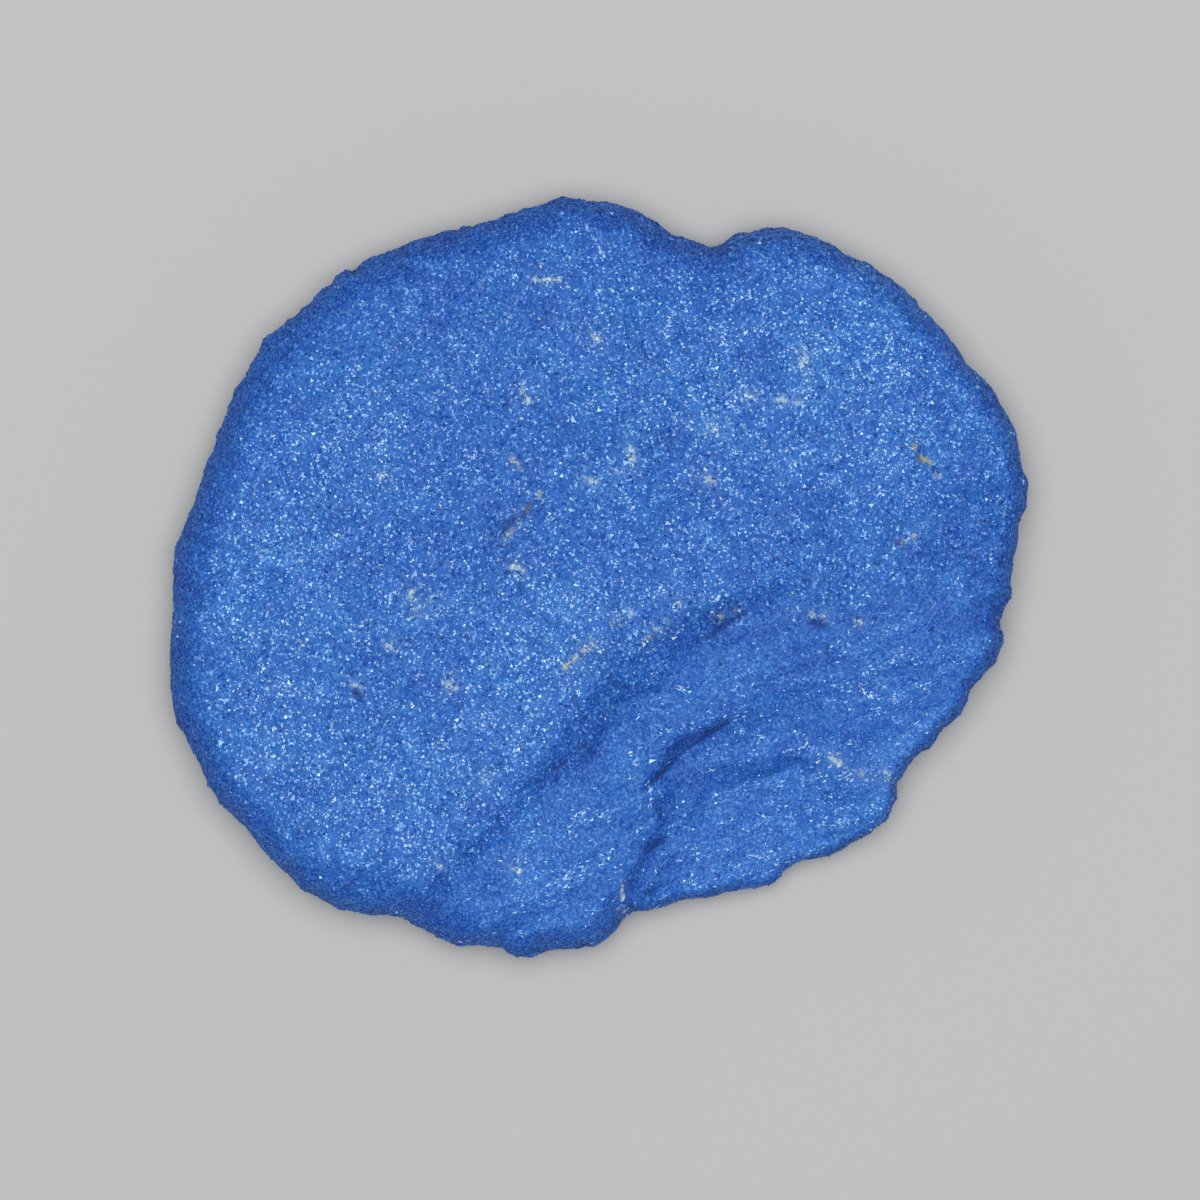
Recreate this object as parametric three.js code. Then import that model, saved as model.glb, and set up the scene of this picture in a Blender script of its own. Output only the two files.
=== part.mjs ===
// A disc-shaped azurite concretion: one naturally grown piece, lying on its back with its crystal face up.
// Millimetres, +Z up. The origin is under the middle of the outline, on the surface that the disc lies on.
// +X is the disc's width and +Y its height as it is usually shown.
import * as THREE from "three";

// ---- driving dimensions, mm ----
const TOP_HEIGHT = 9.1; // the main face above the resting surface
const CENTRE = [-1.0, 0.4]; // the point that the growth rings and the mesh's rings run round
const STEP_TURN_DEG = 35; // the way in which the three steps of the face run, up from +X
const FAR_TILT = 0.075; // how fast the ground beyond the first step falls away, mm per mm
const CROWN_DROP = 0.55; // how far the main face rounds down towards the rim, before the rim itself
const CROWN_REACH = 9.0; // how far from the edge that rounding starts
const BACK_HOLLOW = 0.62; // mean height of the back over the resting surface, between the pads
const BACK_ROUND = 0.85; // the back's rounding at the rim, as a share of the front's
const PAD_DEPTH = 1.15; // how far each pad would reach down, cut flat at the resting surface
const PAD_SIZE = 3.4; // spread of a pad
const MAX_EDGE = 1.7; // longest mesh edge along the rim

// The edge as seen from above, anticlockwise.
const OUTLINE = [
  [35.48, 8.99], [35.29, 10.42], [34.68, 12.85], [33.47, 14.7], [33.15, 15.57], [32.31, 16.59], [30.93, 17.81],
  [28.87, 20.86], [27.06, 22.43], [26.43, 23.39], [25.2, 24.53], [23.38, 25.7], [22.48, 26.48], [20.55, 27.11],
  [19.37, 27.99], [18.03, 28.58], [15.26, 29.36], [13.75, 29.36], [12.65, 28.96], [11.56, 28.83], [10.47, 28.12],
  [9.21, 27.7], [7.03, 28.58], [6.27, 28.71], [5.18, 29.51], [2.66, 30.93], [0.56, 31.54], [-1.79, 31.71],
  [-3.14, 32.03], [-4.48, 31.39], [-7.25, 30.68], [-8.35, 30.13], [-14.39, 28.67], [-15.99, 28.08], [-16.91, 27.53],
  [-18.85, 26.98], [-20.61, 25.85], [-21.7, 25.56], [-23.05, 24.34], [-24.85, 22.6], [-25.57, 22.07], [-26.22, 21.5],
  [-27.92, 20.11], [-29.12, 18.4], [-30, 16.46], [-30.79, 15.29], [-31.55, 13.44], [-32.35, 10.58], [-32.89, 9.74],
  [-35.04, 3.44], [-35.58, 2.44], [-35.77, 0.5], [-35.69, -2.1], [-36.02, -5.29], [-36.02, -8.9], [-35.94, -9.91],
  [-35.33, -12.43], [-34.28, -14.11], [-32.81, -17.64], [-31.54, -19.4], [-30.06, -20.66], [-28.55, -22.76], [-27.41, -23.82],
  [-25.9, -25.24], [-25.06, -26.4], [-23.8, -26.86], [-22.04, -27.91], [-19.35, -28.43], [-16.91, -28.54], [-12.55, -30.77],
  [-11.62, -31.01], [-8.26, -31.14], [-7.09, -31.96], [-5.83, -32.04], [-4.15, -31.46], [-0.37, -31.1], [1.4, -29.75],
  [1.95, -28.81], [2.83, -28.12], [5.18, -27.76], [7.19, -27.18], [9.04, -27], [10.22, -26.59], [12.15, -26.25],
  [13.07, -26.25], [14, -25.98], [14.84, -25.64], [15.68, -24.74], [17.02, -23.84], [18.11, -23.81], [19.46, -23.46],
  [21.73, -22.07], [22.73, -21.69], [24.29, -20.41], [25.02, -18.56], [25.07, -17.47], [25.57, -16.55], [26.31, -15.46],
  [26.85, -14.93], [27.77, -14.49], [28.66, -13.02], [29.87, -12.04], [30.99, -10.5], [31.22, -9.55], [33.26, -7.22],
  [33.55, -6.3], [34.01, -5.54], [33.7, -3.95], [34.05, -2.77], [34.7, -1.6], [34.62, -0.42], [34.79, 1.6],
  [35.12, 2.44], [35.13, 4.37], [35.86, 5.8], [36.02, 8.06],
];

// Points on the edge with the width of the rim's rounding and the height of its widest line.
const RIM = [
  [36.01, 7.31, 2, 3.1], [34.66, 13.19, 2.2, 3.3], [30.29, 19.07, 2.4, 3.4], [24.41, 24.95, 2.7, 3.5],
  [15.26, 29.32, 3, 3.4], [8.87, 27.72, 2.6, 3.1], [0.56, 31.5, 3.4, 3.5], [-8.35, 30.16, 3.6, 3.6],
  [-20.61, 25.87, 3.6, 3.7], [-30.02, 16.46, 3.8, 3.7], [-35.06, 3.44, 4, 3.7], [-35.98, -5.29, 4, 3.7],
  [-35.31, -12.43, 3.6, 3.6], [-31.53, -19.4, 3, 3.4], [-25.9, -25.28, 3.2, 3.2], [-19.35, -28.39, 3.8, 3],
  [-12.55, -30.74, 3, 2.7], [-6.67, -31.92, 2.8, 2.5], [-0.37, -31.08, 2.2, 2.3], [3.33, -27.97, 1.1, 2.2],
  [10.22, -26.63, 0.9, 2.2], [17.02, -23.86, 0.85, 2.2], [22.73, -21.67, 0.85, 2.2], [25.09, -17.89, 1, 2.2],
  [28.7, -13.02, 1.3, 2.3], [32.81, -7.64, 1.6, 2.6], [33.74, -3.95, 1.9, 2.8], [34.83, 1.6, 2, 3],
];

// The face drops in three steps towards the lower right. Each row: x, y, drop, width of the slope.
const STEP_1 = [
  [-17.17, -30.91, 0.8, 2.6], [-14.23, -27.3, 0.8, 2.6], [-12.13, -25.28, 0.75, 2.5], [-9.61, -22.93, 0.75, 2.4],
  [-6.67, -18.98, 0.95, 2.6], [-3.3, -16.2, 1.5, 3.6], [-0.75, -13.6, 2.0, 4.8], [1.6, -10.75, 2.1, 5.2],
  [3.83, -8.32, 2.1, 5.2], [6.77, -5.96, 1.8, 4.4], [10.13, -3.61, 1.3, 3.6], [13.49, -2.77, 0.95, 3.4],
  [16.85, -1.76, 0.8, 3.4], [22.73, -0.67, 0.5, 4.2], [27.77, 0.17, 0.4, 4.2], [37.01, 1.01, 0.4, 4.2],
];
const STEP_2 = [
  [0.05, -30.07, 0.9, 1.6], [1.06, -27.8, 0.9, 1.6], [2.15, -25.87, 0.9, 1.8], [3.5, -24.11, 1, 1.8],
  [4.76, -22.68, 0.97, 1.5], [5.85, -20.92, 0.94, 2], [5.93, -18.82, 0.93, 2.3], [5.43, -17.22, 0.97, 1.6],
  [6.27, -15.54, 1.08, 1.4], [7.7, -14.2, 1.15, 1.6], [10.47, -12.35, 0.95, 2.2], [13.91, -11.68, 0.6, 3.4],
  [18.53, -10.67, 0.4, 4], [25.25, -9.49, 0.3, 4.4], [37.01, -7.81, 0.25, 4.4],
];
const STEP_3 = [
  [3.41, -29.23, 0, 2], [4.67, -26.46, 0.25, 1.6], [7.61, -21.92, 0.35, 2], [9.46, -18.73, 0.5, 1.8],
  [12.23, -17.56, 0.5, 1.6], [15.85, -16.38, 0.45, 1.6], [18.7, -15.54, 0.25, 1.8], [22.73, -13.27, 0.15, 2.4],
  [30.29, -9.49, 0, 3],
];

// Dimples (negative) and swells: x, y, spread along, spread across, turn in degrees, height.
const SWELLS = [
  [-3.73, 6.47, 7.98, 6.72, 0, -0.55], [-16.75, -4.45, 3.19, 5.04, 15, -0.35], [-18.59, -7.98, 2.02, 1.09, -15, -0.35],
  [-20.78, -9.49, 2.02, 1.01, -10, -0.25], [-11.29, 2.69, 3.53, 1.18, 0, -0.22], [-6.67, 3.95, 2.18, 1.26, 35, -0.28],
  [-4.99, 9.66, 1.68, 3.19, 0, -0.25], [-0.11, 9.83, 3.02, 1.18, 0, -0.25], [2.24, 7.56, 1.43, 1.68, 0, -0.32],
  [-1.63, 5.8, 3.36, 0.92, 0, -0.18], [13.75, 17.22, 2.18, 2.1, 0, -0.42], [6.77, 11.84, 1.01, 1.01, 0, -0.25],
  [20.3, 4.12, 1.18, 1.26, 0, -0.4], [18.11, 7.64, 1.18, 0.92, 0, -0.22], [10.81, 6.05, 0.84, 1.85, 0, -0.22],
  [-16.33, 1.76, 1.09, 1.85, 0, -0.28], [16.85, -0.25, 2.18, 0.76, 28, -0.35], [18.2, -7.31, 1.43, 1.01, 0, -0.4],
  [17.36, -10.92, 2.02, 1.51, 0, -0.45], [19.46, -13.61, 0.84, 0.84, 0, -0.3], [27.77, -2.94, 1.09, 1.09, 0, -0.25],
  [23.74, 1.43, 2.18, 1.26, 0, -0.22], [28.7, 0.92, 1.01, 1.01, 0, -0.22], [31.13, 3.53, 0.92, 0.92, 0, -0.22],
  [32.81, -2.44, 1.09, 2.02, 0, -0.6], [-13.3, -28.06, 1.26, 1.68, 0, -0.9], [-15.57, -29.23, 1.34, 0.76, -20, -0.5],
  [-20.27, -25.87, 1.18, 1.01, 0, -0.4], [-17.42, -25.79, 1.51, 0.84, 0, -0.25], [-9.94, -23.44, 1.68, 1.09, 35, -0.45],
  [-6.41, -29.23, 1.51, 0.92, 15, -0.55], [-4.31, -30.91, 2.18, 0.76, 5, -0.45], [4.76, -26.38, 0.92, 0.59, 15, -0.5],
  [4.67, -22.51, 0.76, 0.59, 30, -0.5], [-30.19, -18.73, 1.34, 1.18, 0, -0.3], [-27.5, -22.09, 1.18, 1.01, 0, -0.3],
  [-20.53, 25.79, 1.85, 0.84, 30, -0.35], [-13.39, 16.97, 4.2, 2.35, -10, 0.3], [-25.15, 2.69, 5.04, 5.04, 0, 0.18],
  [-19.27, -19.99, 5.04, 2.86, 0, 0.22], [11.39, 21.17, 2.02, 1.09, 20, 0.22], [9.71, 16.97, 1.01, 2.86, 0, 0.16],
  [21.89, 14.87, 5.04, 5.04, 0, 0.2], [31.97, 9.41, 2.52, 2.18, 0, 0.25], [-8.35, 23.27, 7.56, 2.18, 0, 0.12],
  [14.33, 25.79, 2.86, 1.85, 0, 0.22], [0.05, 28.31, 4.2, 1.51, 0, 0.1], [7.61, -1.09, 5.04, 2.52, 20, 0.15],
  [-22.63, -5.29, 2.52, 5.04, 0, 0.12], [-3.31, -3.61, 5.04, 3.36, 0, 0.14], [21.89, -17.47, 2.02, 1.34, -30, 0.4],
  [20.63, -20.83, 2.86, 1.18, 25, 0.25], [11.81, -23.94, 3.36, 1.18, 15, 0.3], [0.05, -27.55, 2.18, 2.18, 0, 0.35],
  [25.25, -6.13, 3.36, 3.36, 0, 0.2], [3.41, 12.77, 2.52, 2.02, 0, 0.12], [-10.03, 11.51, 2.52, 1.68, 20, 0.14],
  [-31.03, -1.93, 1.68, 10.08, 0, 0.1],
];

// Grooves (negative) and ridges along a line: each point is x, y, height, half width.
const GROOVES = [
  [[8.87, 28.98, -1.70, 1.68], [8.96, 26.46, -1.00, 1.68], [8.54, 23.27, -0.40, 1.51], [7.61, 19.49, -0.12, 1.51]],
  [[36.51, 5.88, -1.00, 1.26], [32.39, 5.71, -0.75, 1.51], [28.61, 5.12, -0.50, 1.51], [25.25, 4.28, -0.32, 1.51], [21.73, 2.44, -0.12, 1.34]],
  [[4.34, -17.14, -0.50, 0.42], [5.26, -16.21, -0.90, 0.42], [6.52, -14.95, -0.90, 0.42], [7.70, -14.11, -0.70, 0.42], [8.96, -13.19, -0.80, 0.42], [10.72, -12.10, -0.30, 0.42]],
  [[8.96, -5.12, -0.30, 0.42], [10.30, -3.95, -0.55, 0.42], [11.98, -2.69, -0.25, 0.42]],
  [[7.61, -17.56, -0.25, 0.84], [11.98, -17.14, -0.30, 0.76], [16.01, -16.13, -0.30, 0.67], [18.20, -15.46, -0.10, 0.67]],
  [[8.29, -16.30, 0.30, 0.67], [12.23, -15.46, 0.35, 0.67], [16.18, -14.70, 0.20, 0.67]],
  [[-13.39, -11.09, -0.05, 0.50], [-10.87, -10.67, -0.20, 0.50], [-8.77, -10.33, -0.20, 0.50], [-6.25, -9.83, -0.04, 0.50]],
  [[-11.03, 17.72, -0.04, 0.60], [-9.52, 16.21, -0.22, 0.60], [-7.93, 14.70, -0.28, 0.60], [-6.50, 13.36, -0.22, 0.70], [-4.57, 11.84, -0.04, 0.90]],
  [[0.39, -10.84, -0.25, 0.76], [2.74, -10.08, -0.45, 0.67], [5.43, -9.32, -0.25, 0.67]],
  [[-8.35, -27.55, 0.22, 2.86], [-3.64, -21.92, 0.32, 2.86], [1.06, -18.06, 0.45, 2.35], [3.41, -14.53, 0.42, 2.18], [8.45, -10.33, 0.30, 2.52], [14.33, -7.98, 0.25, 2.86], [22.73, -8.82, 0.25, 3.36]],
  [[-8.35, -28.39, 0.00, 0.67], [-6.41, -29.32, -0.25, 0.76], [-3.89, -28.39, -0.20, 0.76], [-0.62, -26.54, -0.10, 0.76], [3.41, -24.19, -0.20, 0.76]],
  [[1.57, -24.78, 0.20, 0.34], [1.90, -26.46, 0.30, 0.34], [2.07, -28.14, 0.25, 0.34]],
  [[7.61, -24.44, -0.12, 0.50], [8.96, -24.44, -0.20, 0.50], [10.30, -24.28, -0.10, 0.50]],
  [[0.89, -7.64, -0.15, 0.76], [4.25, -5.71, -0.20, 0.76]],
  [[-3.31, -16.04, -0.12, 0.59], [-0.79, -16.38, -0.20, 0.59], [0.39, -15.12, -0.25, 0.59], [0.73, -12.43, -0.15, 0.59]],
];

// Pads of the back that touch the resting surface.
const PADS = [
  [-1, -0.6], [-25, -2], [-16, 17], [6, 22], [25, 9], [23, -11], [-2, -22], [-19, -17],
];

// Mesh rings: distances in from the edge, then shares of what is left, for the face and for the back.
const FACE_RIM = [0.28, 0.85, 1.7, 2.9, 4.3];
const FACE_INNER = [0.945, 0.89, 0.835, 0.78, 0.72, 0.66, 0.6, 0.54, 0.48, 0.42, 0.36, 0.3, 0.24, 0.18, 0.12, 0.06];
const BACK_RIM = [0.4, 1.2, 2.5, 4.3];
const BACK_INNER = [0.92, 0.83, 0.74, 0.65, 0.56, 0.47, 0.38, 0.29, 0.2, 0.1];

// ---- small helpers ----
const clamp = (v, lo, hi) => Math.min(hi, Math.max(lo, v));
const smooth = (t) => {
  const c = clamp(t, 0, 1);
  return c * c * (3 - 2 * c);
};

function lookUp(x, xs, ys) {
  if (x <= xs[0]) return ys[0];
  for (let i = 1; i < xs.length; i++)
    if (x <= xs[i])
      return ys[i - 1] + ((ys[i] - ys[i - 1]) * (x - xs[i - 1])) / (xs[i] - xs[i - 1]);
  return ys[ys.length - 1];
}

// Smooth noise from -1 to 1 on a unit lattice, the same every time.
function lattice(ix, iy, seed) {
  let h = (Math.imul(ix, 374761393) + Math.imul(iy, 668265263) + Math.imul(seed, 2246822519)) >>> 0;
  h = Math.imul(h ^ (h >>> 13), 1274126177) >>> 0;
  h = Math.imul(h ^ (h >>> 16), 2654435761) >>> 0;
  return ((h ^ (h >>> 15)) >>> 0) / 4294967296;
}
function noise(x, y, seed) {
  const fx = Math.floor(x), fy = Math.floor(y);
  const tx = smooth(x - fx), ty = smooth(y - fy);
  const a = lattice(fx, fy, seed), b = lattice(fx + 1, fy, seed);
  const c = lattice(fx, fy + 1, seed), d = lattice(fx + 1, fy + 1, seed);
  return 2 * ((a + (b - a) * tx) * (1 - ty) + (c + (d - c) * tx) * ty) - 1;
}

function toSegment(x, y, ax, ay, bx, by) {
  const dx = bx - ax, dy = by - ay;
  const t = clamp(((x - ax) * dx + (y - ay) * dy) / (dx * dx + dy * dy), 0, 1);
  return [Math.hypot(x - ax - t * dx, y - ay - t * dy), t];
}

function edgeDistance(x, y) {
  let best = Infinity;
  OUTLINE.forEach(([ax, ay], i) => {
    const [bx, by] = OUTLINE[(i + 1) % OUTLINE.length];
    best = Math.min(best, toSegment(x, y, ax, ay, bx, by)[0]);
  });
  return best;
}

// ---- the rim ----
const rimRows = RIM.map(([x, y, w, z]) => [Math.atan2(y - CENTRE[1], x - CENTRE[0]), w, z]).sort((p, q) => p[0] - q[0]);
const rimAngles = [rimRows.at(-1)[0] - 2 * Math.PI, ...rimRows.map((r) => r[0]), rimRows[0][0] + 2 * Math.PI];
const rimWidths = [rimRows.at(-1)[1], ...rimRows.map((r) => r[1]), rimRows[0][1]];
const rimHeights = [rimRows.at(-1)[2], ...rimRows.map((r) => r[2]), rimRows[0][2]];
function rimAt(x, y) {
  const a = Math.atan2(y - CENTRE[1], x - CENTRE[0]);
  return [lookUp(a, rimAngles, rimWidths), lookUp(a, rimAngles, rimHeights)];
}
const rounding = (t) => Math.sqrt(Math.max(0, 1 - (1 - clamp(t, 0, 1)) ** 2));

// ---- the face ----
const turn = (STEP_TURN_DEG * Math.PI) / 180;
const along = (x, y) => x * Math.cos(turn) + y * Math.sin(turn);
const across = (x, y) => x * Math.sin(turn) - y * Math.cos(turn);

function stepTable(rows) {
  const t = rows.map(([x, y, drop, width]) => [along(x, y), across(x, y), drop, width]);
  for (let i = 1; i < t.length; i++) t[i][0] = Math.max(t[i][0], t[i - 1][0] + 0.15);
  return [0, 1, 2, 3].map((k) => t.map((r) => r[k]));
}
const steps = [STEP_1, STEP_2, STEP_3].map(stepTable);

function stepSide(x, y, [us, vs]) {
  const u = along(x, y), v = across(x, y), e = 0.4;
  const line = (q) => [-2, -1, 0, 1, 2].reduce((s, k) => s + lookUp(q + k * 0.45, us, vs), 0) / 5;
  const slope = (line(u + e) - line(u - e)) / (2 * e);
  return (v - line(u)) / Math.sqrt(1 + slope * slope);
}
function stepDrop(x, y, table) {
  const u = along(x, y);
  const q = clamp(stepSide(x, y, table) / lookUp(u, table[0], table[3]) + 0.5, 0, 1);
  return -lookUp(u, table[0], table[2]) * smooth(q ** 0.62); // sharp at the top, running out at the foot
}

function grooveHeight(x, y, line) {
  let nearest = Infinity, height = 0;
  for (let i = 1; i < line.length; i++) {
    const [ax, ay, ah, as] = line[i - 1], [bx, by, bh, bs] = line[i];
    const [d, t] = toSegment(x, y, ax, ay, bx, by);
    const k = d / (as + (bs - as) * t);
    if (k < nearest) {
      nearest = k;
      height = (ah + (bh - ah) * t) * Math.exp(-0.5 * k * k);
    }
  }
  return height;
}

function faceHeight(x0, y0, inFromEdge) {
  const x = x0 + 0.42 * noise(x0 / 2.3, y0 / 2.3, 11) + 0.16 * noise(x0 / 0.9, y0 / 0.9, 12);
  const y = y0 + 0.42 * noise(x0 / 2.3, y0 / 2.3, 13) + 0.16 * noise(x0 / 0.9, y0 / 0.9, 14);
  let z = TOP_HEIGHT - CROWN_DROP * (1 - smooth(inFromEdge / CROWN_REACH)) * clamp(0.6 + y / 40, 0.15, 1.3);
  for (const s of steps) z += stepDrop(x, y, s);
  z -= FAR_TILT * Math.max(0, stepSide(x, y, steps[0]));
  for (const [cx, cy, sx, sy, deg, h] of SWELLS) {
    const a = (deg * Math.PI) / 180, dx = x - cx, dy = y - cy;
    const p = (dx * Math.cos(a) + dy * Math.sin(a)) / sx, q = (-dx * Math.sin(a) + dy * Math.cos(a)) / sy;
    z += h * Math.exp(-0.5 * (p * p + q * q));
  }
  for (const g of GROOVES) z += grooveHeight(x, y, g);
  return z;
}

function faceZ(x, y, inFromEdge) {
  const [w, ze] = rimAt(x, y);
  return ze + (faceHeight(x, y, inFromEdge) - ze) * rounding(inFromEdge / w);
}

// ---- the back ----
function backZ(x, y, inFromEdge) {
  const [w, ze] = rimAt(x, y);
  let z = BACK_HOLLOW + 0.42 * noise(x / 9, y / 9, 21) + 0.2 * noise(x / 3.6, y / 3.6, 22);
  for (const [cx, cy] of PADS) z -= PAD_DEPTH * Math.exp(-0.5 * ((x - cx) ** 2 + (y - cy) ** 2) / PAD_SIZE ** 2);
  z = Math.max(0, z);
  return ze - (ze - z) * rounding(inFromEdge / (w * BACK_ROUND + 0.9));
}

// ---- the mesh: rings from the edge to the middle, stitched together ----
const edge = [];
OUTLINE.forEach(([ax, ay], i) => {
  const [bx, by] = OUTLINE[(i + 1) % OUTLINE.length];
  const n = Math.max(1, Math.ceil(Math.hypot(bx - ax, by - ay) / MAX_EDGE));
  for (let k = 0; k < n; k++) edge.push([ax + ((bx - ax) * k) / n, ay + ((by - ay) * k) / n]);
});
const polar = edge
  .map(([x, y]) => [Math.atan2(y - CENTRE[1], x - CENTRE[0]), Math.hypot(x - CENTRE[0], y - CENTRE[1])])
  .sort((p, q) => p[0] - q[0]);
const N = polar.length;
const evened = polar.map((_, i) => {
  let s = 0, t = 0;
  for (let k = -6; k <= 6; k++) {
    const w = 7 - Math.abs(k);
    s += w * polar[(i + k + N) % N][1];
    t += w;
  }
  return s / t;
});
const radii = (list, angle) => {
  const as = [polar[N - 1][0] - 2 * Math.PI, ...polar.map((p) => p[0]), polar[0][0] + 2 * Math.PI];
  return lookUp(angle, as, [list[N - 1], ...list, list[0]]);
};
const edgeRadii = polar.map((p) => p[1]);

const points = [];
const faces = [];
const put = (x, y, z) => points.push(x, y, z) / 3 - 1;

function ringOf(radiusAt, angles, zAt) {
  return angles.map((a) => {
    const r = radiusAt(a), x = CENTRE[0] + r * Math.cos(a), y = CENTRE[1] + r * Math.sin(a);
    return [a, put(x, y, zAt(x, y, edgeDistance(x, y)))];
  });
}

// Joins an outer ring to an inner one. Both run anticlockwise.
function stitch(outer, inner, up) {
  const n = outer.length, m = inner.length;
  const at = (ring, i) => ring[i % ring.length][0] + (i >= ring.length ? 2 * Math.PI : 0);
  const add = (a, b, c) => faces.push(...(up ? [a, b, c] : [a, c, b]));
  for (let i = 0, j = 0; i < n || j < m; ) {
    const a = outer[i % n][1], b = inner[j % m][1];
    if (j >= m || (i < n && at(outer, i + 1) <= at(inner, j + 1))) {
      add(a, outer[(i + 1) % n][1], b);
      i++;
    } else {
      add(a, inner[(j + 1) % m][1], b);
      j++;
    }
  }
}

const rim = polar.map(([a, r]) => {
  const x = CENTRE[0] + r * Math.cos(a), y = CENTRE[1] + r * Math.sin(a);
  return [a, put(x, y, rimAt(x, y)[1])];
});
const anglesOf = (count, shift) =>
  Array.from({ length: count }, (_, i) => -Math.PI + ((i + shift) * 2 * Math.PI) / count);

function skin(rimSteps, inner, zAt, up) {
  let last = rim;
  const deepest = rimSteps.at(-1);
  for (const d of rimSteps) {
    const blend = smooth(d / deepest);
    const next = ringOf(
      (a) => radii(edgeRadii, a) * (1 - blend) + radii(evened, a) * blend - d,
      polar.map((p) => p[0]),
      zAt,
    );
    stitch(last, next, up);
    last = next;
  }
  inner.forEach((share, k) => {
    const count = Math.max(8, Math.round(N * clamp(share * 1.12, 0.07, 1)));
    const next = ringOf((a) => (radii(evened, a) - deepest) * share, anglesOf(count, (k % 2) / 2 + 0.25), zAt);
    stitch(last, next, up);
    last = next;
  });
  const middle = put(CENTRE[0], CENTRE[1], zAt(CENTRE[0], CENTRE[1], edgeDistance(...CENTRE)));
  for (let i = 0; i < last.length; i++) {
    const a = last[i][1], b = last[(i + 1) % last.length][1];
    faces.push(...(up ? [a, b, middle] : [a, middle, b]));
  }
}
skin(FACE_RIM, FACE_INNER, faceZ, true);
skin(BACK_RIM, BACK_INNER, backZ, false);

const geometry = new THREE.BufferGeometry();
geometry.setAttribute("position", new THREE.Float32BufferAttribute(points, 3));
geometry.setIndex(faces);
geometry.computeVertexNormals();

// Azure blue, matt as a whole because its crystals are sugar-fine.
const azurite = new THREE.MeshStandardMaterial({ color: 0x4372bd, roughness: 0.7, metalness: 0 });
const disc = new THREE.Mesh(geometry, azurite);
disc.name = "azurite_disc";

const specimen = new THREE.Group();
specimen.add(disc);

export default specimen;
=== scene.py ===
"""A disc-shaped azurite concretion, lying on its back on a plain pale floor and seen from straight above.

Lengths in the tables are millimetres; meshes are made in metres. +X is the disc's width, +Y its height, +Z out of its face.
"""

import math

import bpy
import numpy as np
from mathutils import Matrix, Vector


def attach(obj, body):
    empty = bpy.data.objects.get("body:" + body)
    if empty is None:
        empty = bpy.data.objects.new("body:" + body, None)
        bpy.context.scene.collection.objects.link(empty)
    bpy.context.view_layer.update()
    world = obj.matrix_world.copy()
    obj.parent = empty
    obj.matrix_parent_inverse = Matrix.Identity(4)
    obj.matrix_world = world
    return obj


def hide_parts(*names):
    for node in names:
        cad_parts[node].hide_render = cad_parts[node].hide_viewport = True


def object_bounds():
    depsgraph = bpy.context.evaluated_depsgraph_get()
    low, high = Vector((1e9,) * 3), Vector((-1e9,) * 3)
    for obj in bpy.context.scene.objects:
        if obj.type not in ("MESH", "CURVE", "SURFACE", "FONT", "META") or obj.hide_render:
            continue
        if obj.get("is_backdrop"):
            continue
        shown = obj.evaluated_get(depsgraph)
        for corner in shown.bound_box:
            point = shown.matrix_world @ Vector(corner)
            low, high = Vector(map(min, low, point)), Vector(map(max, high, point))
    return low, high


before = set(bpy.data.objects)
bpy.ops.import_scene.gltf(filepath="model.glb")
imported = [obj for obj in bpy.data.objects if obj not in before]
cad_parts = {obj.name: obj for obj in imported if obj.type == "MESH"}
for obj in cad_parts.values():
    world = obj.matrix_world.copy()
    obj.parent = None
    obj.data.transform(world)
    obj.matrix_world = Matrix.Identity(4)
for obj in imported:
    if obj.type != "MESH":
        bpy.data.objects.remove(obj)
cad_low, cad_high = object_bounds()

# ---------------------------------------------------------------- shape of the disc
TOP_HEIGHT = 9.1
CENTRE = (-1.0, 0.4)
STEP_TURN_DEG = 35
FAR_TILT = 0.075
CROWN_DROP = 0.55
CROWN_REACH = 9.0
BACK_HOLLOW = 0.62
BACK_ROUND = 0.85
PAD_DEPTH = 1.15
PAD_SIZE = 3.4

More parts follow.
